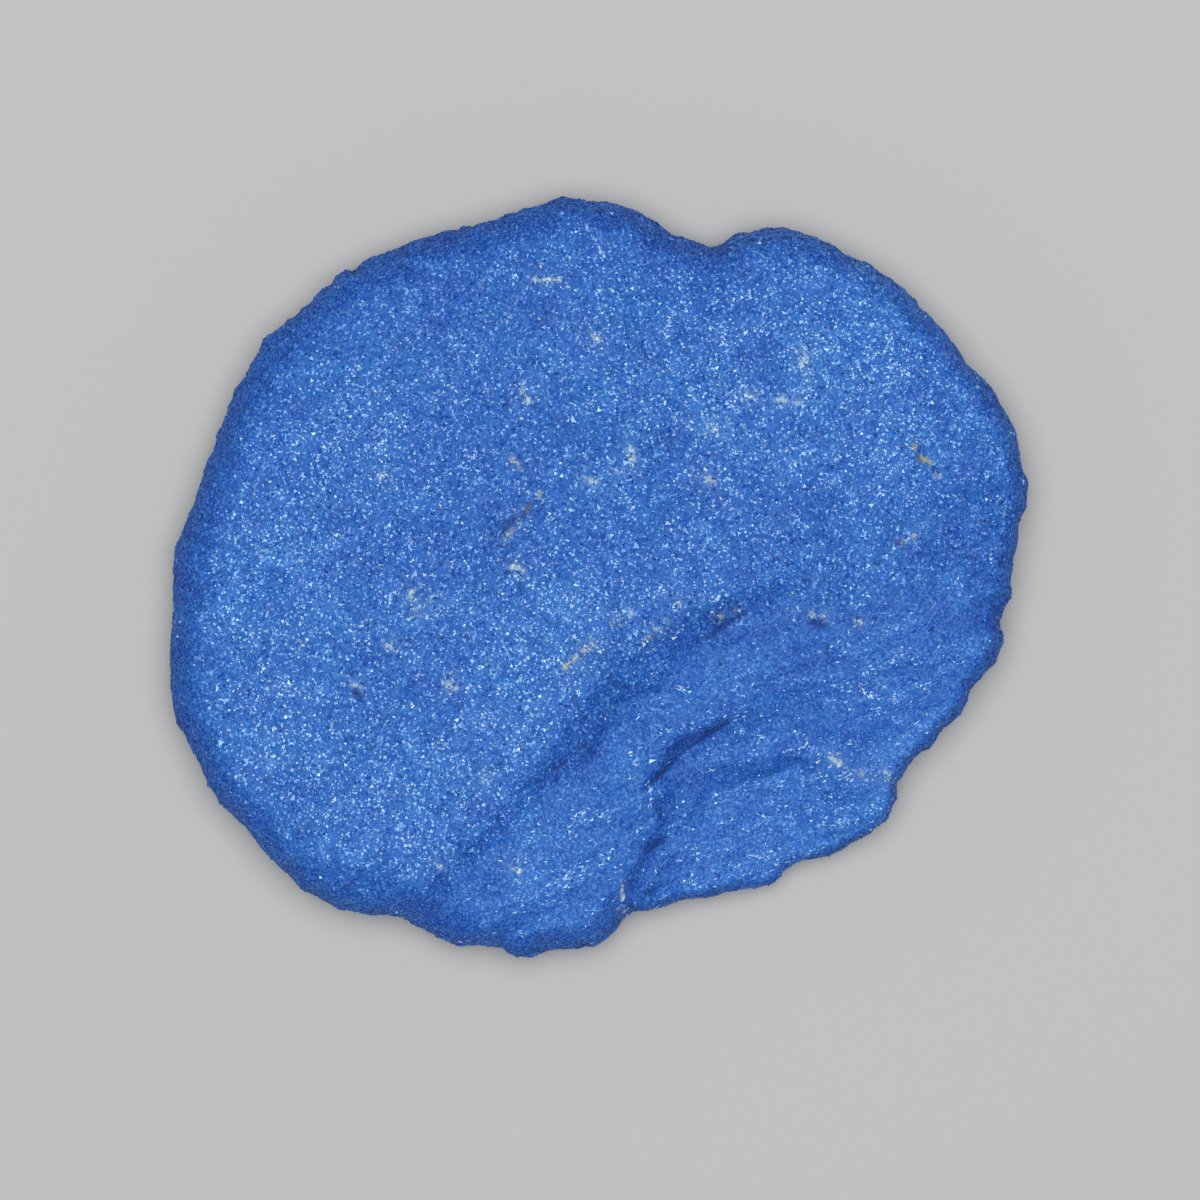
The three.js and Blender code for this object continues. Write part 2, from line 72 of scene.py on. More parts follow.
OUTLINE = [
    [35.48, 8.99], [35.29, 10.42], [34.68, 12.85], [33.47, 14.7], [33.15, 15.57], [32.31, 16.59], [30.93, 17.81],
    [28.87, 20.86], [27.06, 22.43], [26.43, 23.39], [25.2, 24.53], [23.38, 25.7], [22.48, 26.48], [20.55, 27.11],
    [19.37, 27.99], [18.03, 28.58], [15.26, 29.36], [13.75, 29.36], [12.65, 28.96], [11.56, 28.83], [10.47, 28.12],
    [9.21, 27.7], [7.03, 28.58], [6.27, 28.71], [5.18, 29.51], [2.66, 30.93], [0.56, 31.54], [-1.79, 31.71],
    [-3.14, 32.03], [-4.48, 31.39], [-7.25, 30.68], [-8.35, 30.13], [-14.39, 28.67], [-15.99, 28.08], [-16.91, 27.53],
    [-18.85, 26.98], [-20.61, 25.85], [-21.7, 25.56], [-23.05, 24.34], [-24.85, 22.6], [-25.57, 22.07], [-26.22, 21.5],
    [-27.92, 20.11], [-29.12, 18.4], [-30, 16.46], [-30.79, 15.29], [-31.55, 13.44], [-32.35, 10.58], [-32.89, 9.74],
    [-35.04, 3.44], [-35.58, 2.44], [-35.77, 0.5], [-35.69, -2.1], [-36.02, -5.29], [-36.02, -8.9], [-35.94, -9.91],
    [-35.33, -12.43], [-34.28, -14.11], [-32.81, -17.64], [-31.54, -19.4], [-30.06, -20.66], [-28.55, -22.76], [-27.41, -23.82],
    [-25.9, -25.24], [-25.06, -26.4], [-23.8, -26.86], [-22.04, -27.91], [-19.35, -28.43], [-16.91, -28.54], [-12.55, -30.77],
    [-11.62, -31.01], [-8.26, -31.14], [-7.09, -31.96], [-5.83, -32.04], [-4.15, -31.46], [-0.37, -31.1], [1.4, -29.75],
    [1.95, -28.81], [2.83, -28.12], [5.18, -27.76], [7.19, -27.18], [9.04, -27], [10.22, -26.59], [12.15, -26.25],
    [13.07, -26.25], [14, -25.98], [14.84, -25.64], [15.68, -24.74], [17.02, -23.84], [18.11, -23.81], [19.46, -23.46],
    [21.73, -22.07], [22.73, -21.69], [24.29, -20.41], [25.02, -18.56], [25.07, -17.47], [25.57, -16.55], [26.31, -15.46],
    [26.85, -14.93], [27.77, -14.49], [28.66, -13.02], [29.87, -12.04], [30.99, -10.5], [31.22, -9.55], [33.26, -7.22],
    [33.55, -6.3], [34.01, -5.54], [33.7, -3.95], [34.05, -2.77], [34.7, -1.6], [34.62, -0.42], [34.79, 1.6],
    [35.12, 2.44], [35.13, 4.37], [35.86, 5.8], [36.02, 8.06],
]

RIM = [
    [36.01, 7.31, 2, 3.1], [34.66, 13.19, 2.2, 3.3], [30.29, 19.07, 2.4, 3.4], [24.41, 24.95, 2.7, 3.5],
    [15.26, 29.32, 3, 3.4], [8.87, 27.72, 2.6, 3.1], [0.56, 31.5, 3.4, 3.5], [-8.35, 30.16, 3.6, 3.6],
    [-20.61, 25.87, 3.6, 3.7], [-30.02, 16.46, 3.8, 3.7], [-35.06, 3.44, 4, 3.7], [-35.98, -5.29, 4, 3.7],
    [-35.31, -12.43, 3.6, 3.6], [-31.53, -19.4, 3, 3.4], [-25.9, -25.28, 3.2, 3.2], [-19.35, -28.39, 3.8, 3],
    [-12.55, -30.74, 3, 2.7], [-6.67, -31.92, 2.8, 2.5], [-0.37, -31.08, 2.2, 2.3], [3.33, -27.97, 1.1, 2.2],
    [10.22, -26.63, 0.9, 2.2], [17.02, -23.86, 0.85, 2.2], [22.73, -21.67, 0.85, 2.2], [25.09, -17.89, 1, 2.2],
    [28.7, -13.02, 1.3, 2.3], [32.81, -7.64, 1.6, 2.6], [33.74, -3.95, 1.9, 2.8], [34.83, 1.6, 2, 3],
]

STEP_1 = [
    [-17.17, -30.91, 0.8, 2.6], [-14.23, -27.3, 0.8, 2.6], [-12.13, -25.28, 0.75, 2.5], [-9.61, -22.93, 0.75, 2.4],
    [-6.67, -18.98, 0.95, 2.6], [-3.3, -16.2, 1.5, 3.6], [-0.75, -13.6, 2.0, 4.8], [1.6, -10.75, 2.1, 5.2],
    [3.83, -8.32, 2.1, 5.2], [6.77, -5.96, 1.8, 4.4], [10.13, -3.61, 1.3, 3.6], [13.49, -2.77, 0.95, 3.4],
    [16.85, -1.76, 0.8, 3.4], [22.73, -0.67, 0.5, 4.2], [27.77, 0.17, 0.4, 4.2], [37.01, 1.01, 0.4, 4.2],
]
STEP_2 = [
    [0.05, -30.07, 0.9, 1.6], [1.06, -27.8, 0.9, 1.6], [2.15, -25.87, 0.9, 1.8], [3.5, -24.11, 1, 1.8],
    [4.76, -22.68, 0.97, 1.5], [5.85, -20.92, 0.94, 2], [5.93, -18.82, 0.93, 2.3], [5.43, -17.22, 0.97, 1.6],
    [6.27, -15.54, 1.08, 1.4], [7.7, -14.2, 1.15, 1.6], [10.47, -12.35, 0.95, 2.2], [13.91, -11.68, 0.6, 3.4],
    [18.53, -10.67, 0.4, 4], [25.25, -9.49, 0.3, 4.4], [37.01, -7.81, 0.25, 4.4],
]
STEP_3 = [
    [3.41, -29.23, 0, 2], [4.67, -26.46, 0.25, 1.6], [7.61, -21.92, 0.35, 2], [9.46, -18.73, 0.5, 1.8],
    [12.23, -17.56, 0.5, 1.6], [15.85, -16.38, 0.45, 1.6], [18.7, -15.54, 0.25, 1.8], [22.73, -13.27, 0.15, 2.4],
    [30.29, -9.49, 0, 3],
]

SWELLS = [
    [-3.73, 6.47, 7.98, 6.72, 0, -0.55], [-16.75, -4.45, 3.19, 5.04, 15, -0.35], [-18.59, -7.98, 2.02, 1.09, -15, -0.35],
    [-20.78, -9.49, 2.02, 1.01, -10, -0.25], [-11.29, 2.69, 3.53, 1.18, 0, -0.22], [-6.67, 3.95, 2.18, 1.26, 35, -0.28],
    [-4.99, 9.66, 1.68, 3.19, 0, -0.25], [-0.11, 9.83, 3.02, 1.18, 0, -0.25], [2.24, 7.56, 1.43, 1.68, 0, -0.32],
    [-1.63, 5.8, 3.36, 0.92, 0, -0.18], [13.75, 17.22, 2.18, 2.1, 0, -0.42], [6.77, 11.84, 1.01, 1.01, 0, -0.25],
    [20.3, 4.12, 1.18, 1.26, 0, -0.4], [18.11, 7.64, 1.18, 0.92, 0, -0.22], [10.81, 6.05, 0.84, 1.85, 0, -0.22],
    [-16.33, 1.76, 1.09, 1.85, 0, -0.28], [16.85, -0.25, 2.18, 0.76, 28, -0.35], [18.2, -7.31, 1.43, 1.01, 0, -0.4],
    [17.36, -10.92, 2.02, 1.51, 0, -0.45], [19.46, -13.61, 0.84, 0.84, 0, -0.3], [27.77, -2.94, 1.09, 1.09, 0, -0.25],
    [23.74, 1.43, 2.18, 1.26, 0, -0.22], [28.7, 0.92, 1.01, 1.01, 0, -0.22], [31.13, 3.53, 0.92, 0.92, 0, -0.22],
    [32.81, -2.44, 1.09, 2.02, 0, -0.6], [-13.3, -28.06, 1.26, 1.68, 0, -0.9], [-15.57, -29.23, 1.34, 0.76, -20, -0.5],
    [-20.27, -25.87, 1.18, 1.01, 0, -0.4], [-17.42, -25.79, 1.51, 0.84, 0, -0.25], [-9.94, -23.44, 1.68, 1.09, 35, -0.45],
    [-6.41, -29.23, 1.51, 0.92, 15, -0.55], [-4.31, -30.91, 2.18, 0.76, 5, -0.45], [4.76, -26.38, 0.92, 0.59, 15, -0.5],
    [4.67, -22.51, 0.76, 0.59, 30, -0.5], [-30.19, -18.73, 1.34, 1.18, 0, -0.3], [-27.5, -22.09, 1.18, 1.01, 0, -0.3],
    [-20.53, 25.79, 1.85, 0.84, 30, -0.35], [-13.39, 16.97, 4.2, 2.35, -10, 0.3], [-25.15, 2.69, 5.04, 5.04, 0, 0.18],
    [-19.27, -19.99, 5.04, 2.86, 0, 0.22], [11.39, 21.17, 2.02, 1.09, 20, 0.22], [9.71, 16.97, 1.01, 2.86, 0, 0.16],
    [21.89, 14.87, 5.04, 5.04, 0, 0.2], [31.97, 9.41, 2.52, 2.18, 0, 0.25], [-8.35, 23.27, 7.56, 2.18, 0, 0.12],
    [14.33, 25.79, 2.86, 1.85, 0, 0.22], [0.05, 28.31, 4.2, 1.51, 0, 0.1], [7.61, -1.09, 5.04, 2.52, 20, 0.15],
    [-22.63, -5.29, 2.52, 5.04, 0, 0.12], [-3.31, -3.61, 5.04, 3.36, 0, 0.14], [21.89, -17.47, 2.02, 1.34, -30, 0.4],
    [20.63, -20.83, 2.86, 1.18, 25, 0.25], [11.81, -23.94, 3.36, 1.18, 15, 0.3], [0.05, -27.55, 2.18, 2.18, 0, 0.35],
    [25.25, -6.13, 3.36, 3.36, 0, 0.2], [3.41, 12.77, 2.52, 2.02, 0, 0.12], [-10.03, 11.51, 2.52, 1.68, 20, 0.14],
    [-31.03, -1.93, 1.68, 10.08, 0, 0.1],
]

GROOVES = [
    [[8.87, 28.98, -1.70, 1.68], [8.96, 26.46, -1.00, 1.68], [8.54, 23.27, -0.40, 1.51], [7.61, 19.49, -0.12, 1.51]],
    [[36.51, 5.88, -1.00, 1.26], [32.39, 5.71, -0.75, 1.51], [28.61, 5.12, -0.50, 1.51], [25.25, 4.28, -0.32, 1.51], [21.73, 2.44, -0.12, 1.34]],
    [[4.34, -17.14, -0.50, 0.42], [5.26, -16.21, -0.90, 0.42], [6.52, -14.95, -0.90, 0.42], [7.70, -14.11, -0.70, 0.42], [8.96, -13.19, -0.80, 0.42], [10.72, -12.10, -0.30, 0.42]],
    [[8.96, -5.12, -0.30, 0.42], [10.30, -3.95, -0.55, 0.42], [11.98, -2.69, -0.25, 0.42]],
    [[7.61, -17.56, -0.25, 0.84], [11.98, -17.14, -0.30, 0.76], [16.01, -16.13, -0.30, 0.67], [18.20, -15.46, -0.10, 0.67]],
    [[8.29, -16.30, 0.30, 0.67], [12.23, -15.46, 0.35, 0.67], [16.18, -14.70, 0.20, 0.67]],
    [[-13.39, -11.09, -0.05, 0.5], [-10.87, -10.67, -0.2, 0.5], [-8.77, -10.33, -0.2, 0.5], [-6.25, -9.83, -0.04, 0.5]],
    [[-11.03, 17.72, -0.04, 0.6], [-9.52, 16.21, -0.22, 0.6], [-7.93, 14.70, -0.28, 0.6], [-6.50, 13.36, -0.22, 0.7], [-4.57, 11.84, -0.04, 0.9]],
    [[0.39, -10.84, -0.25, 0.76], [2.74, -10.08, -0.45, 0.67], [5.43, -9.32, -0.25, 0.67]],
    [[-8.35, -27.55, 0.22, 2.86], [-3.64, -21.92, 0.32, 2.86], [1.06, -18.06, 0.45, 2.35], [3.41, -14.53, 0.42, 2.18], [8.45, -10.33, 0.30, 2.52], [14.33, -7.98, 0.25, 2.86], [22.73, -8.82, 0.25, 3.36]],
    [[-8.35, -28.39, 0.00, 0.67], [-6.41, -29.32, -0.25, 0.76], [-3.89, -28.39, -0.20, 0.76], [-0.62, -26.54, -0.10, 0.76], [3.41, -24.19, -0.20, 0.76]],
    [[1.57, -24.78, 0.20, 0.34], [1.90, -26.46, 0.30, 0.34], [2.07, -28.14, 0.25, 0.34]],
    [[7.61, -24.44, -0.12, 0.50], [8.96, -24.44, -0.20, 0.50], [10.30, -24.28, -0.10, 0.50]],
    [[0.89, -7.64, -0.15, 0.76], [4.25, -5.71, -0.20, 0.76]],
    [[-3.31, -16.04, -0.12, 0.59], [-0.79, -16.38, -0.20, 0.59], [0.39, -15.12, -0.25, 0.59], [0.73, -12.43, -0.15, 0.59]],
]

PADS = [[-1, -0.6], [-25, -2], [-16, 17], [6, 22], [25, 9], [23, -11], [-2, -22], [-19, -17]]


def smooth(t):
    t = np.clip(t, 0, 1)
    return t * t * (3 - 2 * t)


def lattice(ix, iy, seed):
    ix, iy = ix.astype(np.int64) & 0xFFFFFFFF, iy.astype(np.int64) & 0xFFFFFFFF
    h = (ix * 374761393 + iy * 668265263 + seed * 2246822519) & 0xFFFFFFFF
    h = ((h ^ (h >> 13)) * 1274126177) & 0xFFFFFFFF
    h = ((h ^ (h >> 16)) * 2654435761) & 0xFFFFFFFF
    return (h ^ (h >> 15)) / 4294967296.0


def noise(x, y, seed):
    """Smooth noise from -1 to 1 on a unit lattice."""
    fx, fy = np.floor(x), np.floor(y)
    tx, ty = smooth(x - fx), smooth(y - fy)
    a, b = lattice(fx, fy, seed), lattice(fx + 1, fy, seed)
    c, d = lattice(fx, fy + 1, seed), lattice(fx + 1, fy + 1, seed)
    return 2 * ((a + (b - a) * tx) * (1 - ty) + (c + (d - c) * tx) * ty) - 1


def to_line(x, y, a, b):
    dx, dy = b[0] - a[0], b[1] - a[1]
    t = np.clip(((x - a[0]) * dx + (y - a[1]) * dy) / (dx * dx + dy * dy), 0, 1)
    return np.hypot(x - a[0] - t * dx, y - a[1] - t * dy), t


def edge_distance(x, y):
    best = np.full(x.shape, 1e9)
    for a, b in zip(OUTLINE, OUTLINE[1:] + OUTLINE[:1]):
        best = np.minimum(best, to_line(x, y, a, b)[0])
    return best


rim_rows = sorted((math.atan2(y - CENTRE[1], x - CENTRE[0]), w, z) for x, y, w, z in RIM)
rim_rows = np.array([(rim_rows[-1][0] - 2 * math.pi, *rim_rows[-1][1:]), *rim_rows, (rim_rows[0][0] + 2 * math.pi, *rim_rows[0][1:])])


def rim_at(x, y):
    a = np.arctan2(y - CENTRE[1], x - CENTRE[0])
    return np.interp(a, rim_rows[:, 0], rim_rows[:, 1]), np.interp(a, rim_rows[:, 0], rim_rows[:, 2])


def rounding(t):
    return np.sqrt(np.maximum(1 - (1 - np.clip(t, 0, 1)) ** 2, 0))


cos_s, sin_s = math.cos(math.radians(STEP_TURN_DEG)), math.sin(math.radians(STEP_TURN_DEG))


def step_table(rows):
    t = np.array([(x * cos_s + y * sin_s, x * sin_s - y * cos_s, drop, w) for x, y, drop, w in rows])
    for i in range(1, len(t)):
        t[i, 0] = max(t[i, 0], t[i - 1, 0] + 0.15)
    return t


steps = [step_table(s) for s in (STEP_1, STEP_2, STEP_3)]


def step_side(x, y, t):
    u, v, e = x * cos_s + y * sin_s, x * sin_s - y * cos_s, 0.4

    def line(q):
        return sum(np.interp(q + k * 0.45, t[:, 0], t[:, 1]) for k in (-2, -1, 0, 1, 2)) / 5

    slope = (line(u + e) - line(u - e)) / (2 * e)
    return (v - line(u)) / np.sqrt(1 + slope * slope)


def step_drop(x, y, t):
    u = x * cos_s + y * sin_s
    q = np.clip(step_side(x, y, t) / np.interp(u, t[:, 0], t[:, 3]) + 0.5, 0, 1)
    return -np.interp(u, t[:, 0], t[:, 2]) * smooth(q**0.62)


def along_line(x, y, line):
    near, height = np.full(x.shape, 1e9), np.zeros(x.shape)
    for a, b in zip(line[:-1], line[1:]):
        d, t = to_line(x, y, a, b)
        k = d / (a[3] + (b[3] - a[3]) * t)
        h = (a[2] + (b[2] - a[2]) * t) * np.exp(-0.5 * k * k)
        closer = k < near
        near[closer], height[closer] = k[closer], h[closer]
    return height


def warped(x, y):
    return (
        x + 0.42 * noise(x / 2.3, y / 2.3, 11) + 0.16 * noise(x / 0.9, y / 0.9, 12),
        y + 0.42 * noise(x / 2.3, y / 2.3, 13) + 0.16 * noise(x / 0.9, y / 0.9, 14),
    )


def face_height(x, y, d):
    x, y = warped(x, y)
    z = TOP_HEIGHT - CROWN_DROP * (1 - smooth(d / CROWN_REACH)) * np.clip(0.6 + y / 40, 0.15, 1.3)
    for t in steps:
        z = z + step_drop(x, y, t)
    z = z - FAR_TILT * np.maximum(0, step_side(x, y, steps[0]))
    for cx, cy, sx, sy, deg, h in SWELLS:
        a, dx, dy = math.radians(deg), x - cx, y - cy
        p, q = (dx * math.cos(a) + dy * math.sin(a)) / sx, (-dx * math.sin(a) + dy * math.cos(a)) / sy
        z = z + h * np.exp(-0.5 * (p * p + q * q))
    for g in GROOVES:
        z = z + along_line(x, y, g)
    return z


def face_z(x, y, d):
    w, ze = rim_at(x, y)
    return ze + (face_height(x, y, d) - ze) * rounding(d / w)


def back_z(x, y, d):
    w, ze = rim_at(x, y)
    z = BACK_HOLLOW + 0.42 * noise(x / 9, y / 9, 21) + 0.2 * noise(x / 3.6, y / 3.6, 22)
    for cx, cy in PADS:
        z = z - PAD_DEPTH * np.exp(-0.5 * ((x - cx) ** 2 + (y - cy) ** 2) / PAD_SIZE**2)
    z = np.maximum(0, z)
    return ze - (ze - z) * rounding(d / (w * BACK_ROUND + 0.9))


# ---------------------------------------------------------------- the body, a closed skin of fine facets
rng = np.random.default_rng(1881)
outline = np.array(OUTLINE)
o_angle = np.arctan2(outline[:, 1] - CENTRE[1], outline[:, 0] - CENTRE[0])
o_radius = np.hypot(outline[:, 1] - CENTRE[1], outline[:, 0] - CENTRE[0])
# radius of the edge at any angle, exact on the straight lines between the outline's points
fine_angle = np.linspace(-math.pi, math.pi, 4097)


def edge_radius(a):
    order = np.argsort(o_angle)
    p = outline[order] - np.array(CENTRE)
    ang = o_angle[order]
    i = np.searchsorted(ang, a) % len(ang)
    q0, q1 = p[i - 1], p[i]
    c, s = np.cos(a), np.sin(a)
    d = q1 - q0
    return (q0[:, 0] * d[:, 1] - q0[:, 1] * d[:, 0]) / (c * d[:, 1] - s * d[:, 0])


fine_radius = edge_radius(fine_angle)
kernel = np.hanning(161)
kernel /= kernel.sum()
even_radius = np.convolve(np.r_[fine_radius[-81:-1], fine_radius, fine_radius[1:81]], kernel, "valid")


def ring_points(radial, angles):
    """Points of a ring, radial being the distance in from the edge."""
    blend = smooth(radial / 4.3)
    r = np.interp(angles, fine_angle, fine_radius) * (1 - blend) + np.interp(angles, fine_angle, even_radius) * blend - radial
    return CENTRE[0] + r * np.cos(angles), CENTRE[1] + r * np.sin(angles)


def skin_rings(pitch, round_rings, back):
    """Rings from just inside the widest line to the middle, as (angles, x, y, share of the way out along the skin)."""
    rings = []
    jitter = 0.36
    count = int(218 / pitch)
    total = 6.0 + 31
    for k in range(1, round_rings + 1):
        phi = (math.pi / 2) * k / (round_rings + 0.5)
        a = wrap(np.arange(count) / count * 2 * math.pi - math.pi + (k % 2) * math.pi / count + rng.uniform(-jitter, jitter, count) * 2 * math.pi / count)
        p = phi + rng.uniform(-jitter, jitter, count) * (math.pi / 2) / (round_rings + 0.5)
        x0, y0 = ring_points(np.full(count, 0.0), a)
        w, _ = rim_at(x0, y0)
        if back:
            w = w * BACK_ROUND + 0.9
        d = w * (1 - np.cos(p))
        x, y = ring_points(d, a)
        rings.append((a, x, y, np.full(count, 1 - 6.0 / total * k / round_rings)))
    x0, y0 = ring_points(np.zeros(len(fine_angle)), fine_angle)
    w_fine, _ = rim_at(x0, y0)
    if back:
        w_fine = w_fine * BACK_ROUND + 0.9
    inner = np.interp(fine_angle, fine_angle, even_radius) - w_fine
    inner = np.convolve(np.r_[inner[-81:-1], inner, inner[1:81]], kernel, "valid")
    mean = float(inner.mean())
    n = int(mean / pitch)
    for k in range(n):
        share = 1 - (k + 0.35) / n
        count = max(6, int(2 * math.pi * mean * share / pitch))
        a = wrap(np.arange(count) / count * 2 * math.pi - math.pi + rng.uniform(0, 2 * math.pi / count) + rng.uniform(-jitter, jitter, count) * 2 * math.pi / count)
        s = share + rng.uniform(-jitter, jitter, count) / n
        r = np.interp(a, fine_angle, inner) * s
        rings.append((a, CENTRE[0] + r * np.cos(a), CENTRE[1] + r * np.sin(a), (31 / total) * s))
    return rings


def wrap(a):
    a = (a + math.pi) % (2 * math.pi) - math.pi
    return np.sort(a)


def stitch(a0, i0, a1, i1, up, out):
    """Triangles between an outer ring and an inner one, both sorted by angle."""
    n, m, i, j = len(a0), len(a1), 0, 0
    a0, a1 = [*a0, *[v + 2 * math.pi for v in a0]], [*a1, *[v + 2 * math.pi for v in a1]]
    while i < n or j < m:
        p, q = i0[i % n], i1[j % m]
        if j >= m or (i < n and a0[i + 1] <= a1[j + 1]):
            tri = (p, i0[(i + 1) % n], q)
            i += 1
        else:
            tri = (p, i1[(j + 1) % m], q)
            j += 1
        out.append(tri if up else (tri[0], tri[2], tri[1]))


def build_body(face_pitch, back_pitch, face_rings, back_rings):
    count = int(218 / face_pitch)
    a = wrap(np.arange(count) / count * 2 * math.pi - math.pi + rng.uniform(-0.3, 0.3, count) * 2 * math.pi / count)
    x, y = ring_points(np.zeros(count), a)
    _, ze = rim_at(x, y)
    ze = ze + 0.25 * noise(x / 1.7, y / 1.7, 31)
    xs, ys, zs, share, side = [x], [y], [ze], [np.ones(count)], [np.zeros(count)]
    edge = (a, list(range(count)))
    total, faces, is_face = count, [], []
    for back, pitch, n_round in ((False, face_pitch, face_rings), (True, back_pitch, back_rings)):
        last = edge
        for a, x, y, s in skin_rings(pitch, n_round, back):
            d = edge_distance(x, y)
            z = back_z(x, y, d) if back else face_z(x, y, d)
            ids = list(range(total, total + len(a)))
            total += len(a)
            xs.append(x), ys.append(y), zs.append(z), share.append(s), side.append(np.full(len(a), -1.0 if back else 1.0))
            before = len(faces)
            stitch(last[0], last[1], a, ids, not back, faces)
            is_face += [not back] * (len(faces) - before)
            last = (a, ids)
        cx, cy = np.array([CENTRE[0]]), np.array([CENTRE[1]])
        d = edge_distance(cx, cy)
        xs.append(cx), ys.append(cy), zs.append(back_z(cx, cy, d) if back else face_z(cx, cy, d))
        share.append(np.zeros(1)), side.append(np.array([-1.0 if back else 1.0]))
        ids = last[1]
        for i in range(len(ids)):
            tri = (ids[i], ids[(i + 1) % len(ids)], total)
            faces.append(tri if not back else (tri[0], tri[2], tri[1]))
            is_face.append(not back)
        total += 1
    v = np.stack([np.concatenate(q) for q in (xs, ys, zs)], 1)
    return v, np.array(faces, np.int64), np.array(is_face), np.concatenate(share), np.concatenate(side)


def normals_of(v, f):
    n = np.cross(v[f[:, 1]] - v[f[:, 0]], v[f[:, 2]] - v[f[:, 0]])
    out = np.zeros_like(v)
    for k in range(3):
        for c in range(3):
            out[:, c] += np.bincount(f[:, k], n[:, c], len(v))
    return out / np.maximum(np.linalg.norm(out, axis=1, keepdims=True), 1e-12)


LOW, HIGH = np.array(cad_low) * 1000, np.array(cad_high) * 1000


def kept_inside(v):
    return np.clip(v, LOW + (0.004, 0.004, 0.0), HIGH - 0.004)


def make_mesh(name, v, f, attributes, uv, materials):
    me = bpy.data.meshes.new(name)
    me.vertices.add(len(v))
    me.vertices.foreach_set("co", (kept_inside(v) * 0.001).astype(np.float32).ravel())
    me.loops.add(f.size)
    me.loops.foreach_set("vertex_index", f.astype(np.int32).ravel())
    me.polygons.add(len(f))
    me.polygons.foreach_set("loop_start", np.arange(0, f.size, 3, dtype=np.int32))
    me.update(calc_edges=True)
    for key, values in attributes.items():
        me.attributes.new(key, "FLOAT", "POINT").data.foreach_set("value", values.astype(np.float32))
    layer = me.uv_layers.new(name="OFBake")
    layer.uv.foreach_set("vector", uv.astype(np.float32).ravel())
    for m in materials:
        me.materials.append(m)
    me.shade_flat()
    ob = bpy.data.objects.new(name, me)
    bpy.context.scene.collection.objects.link(ob)
    return ob
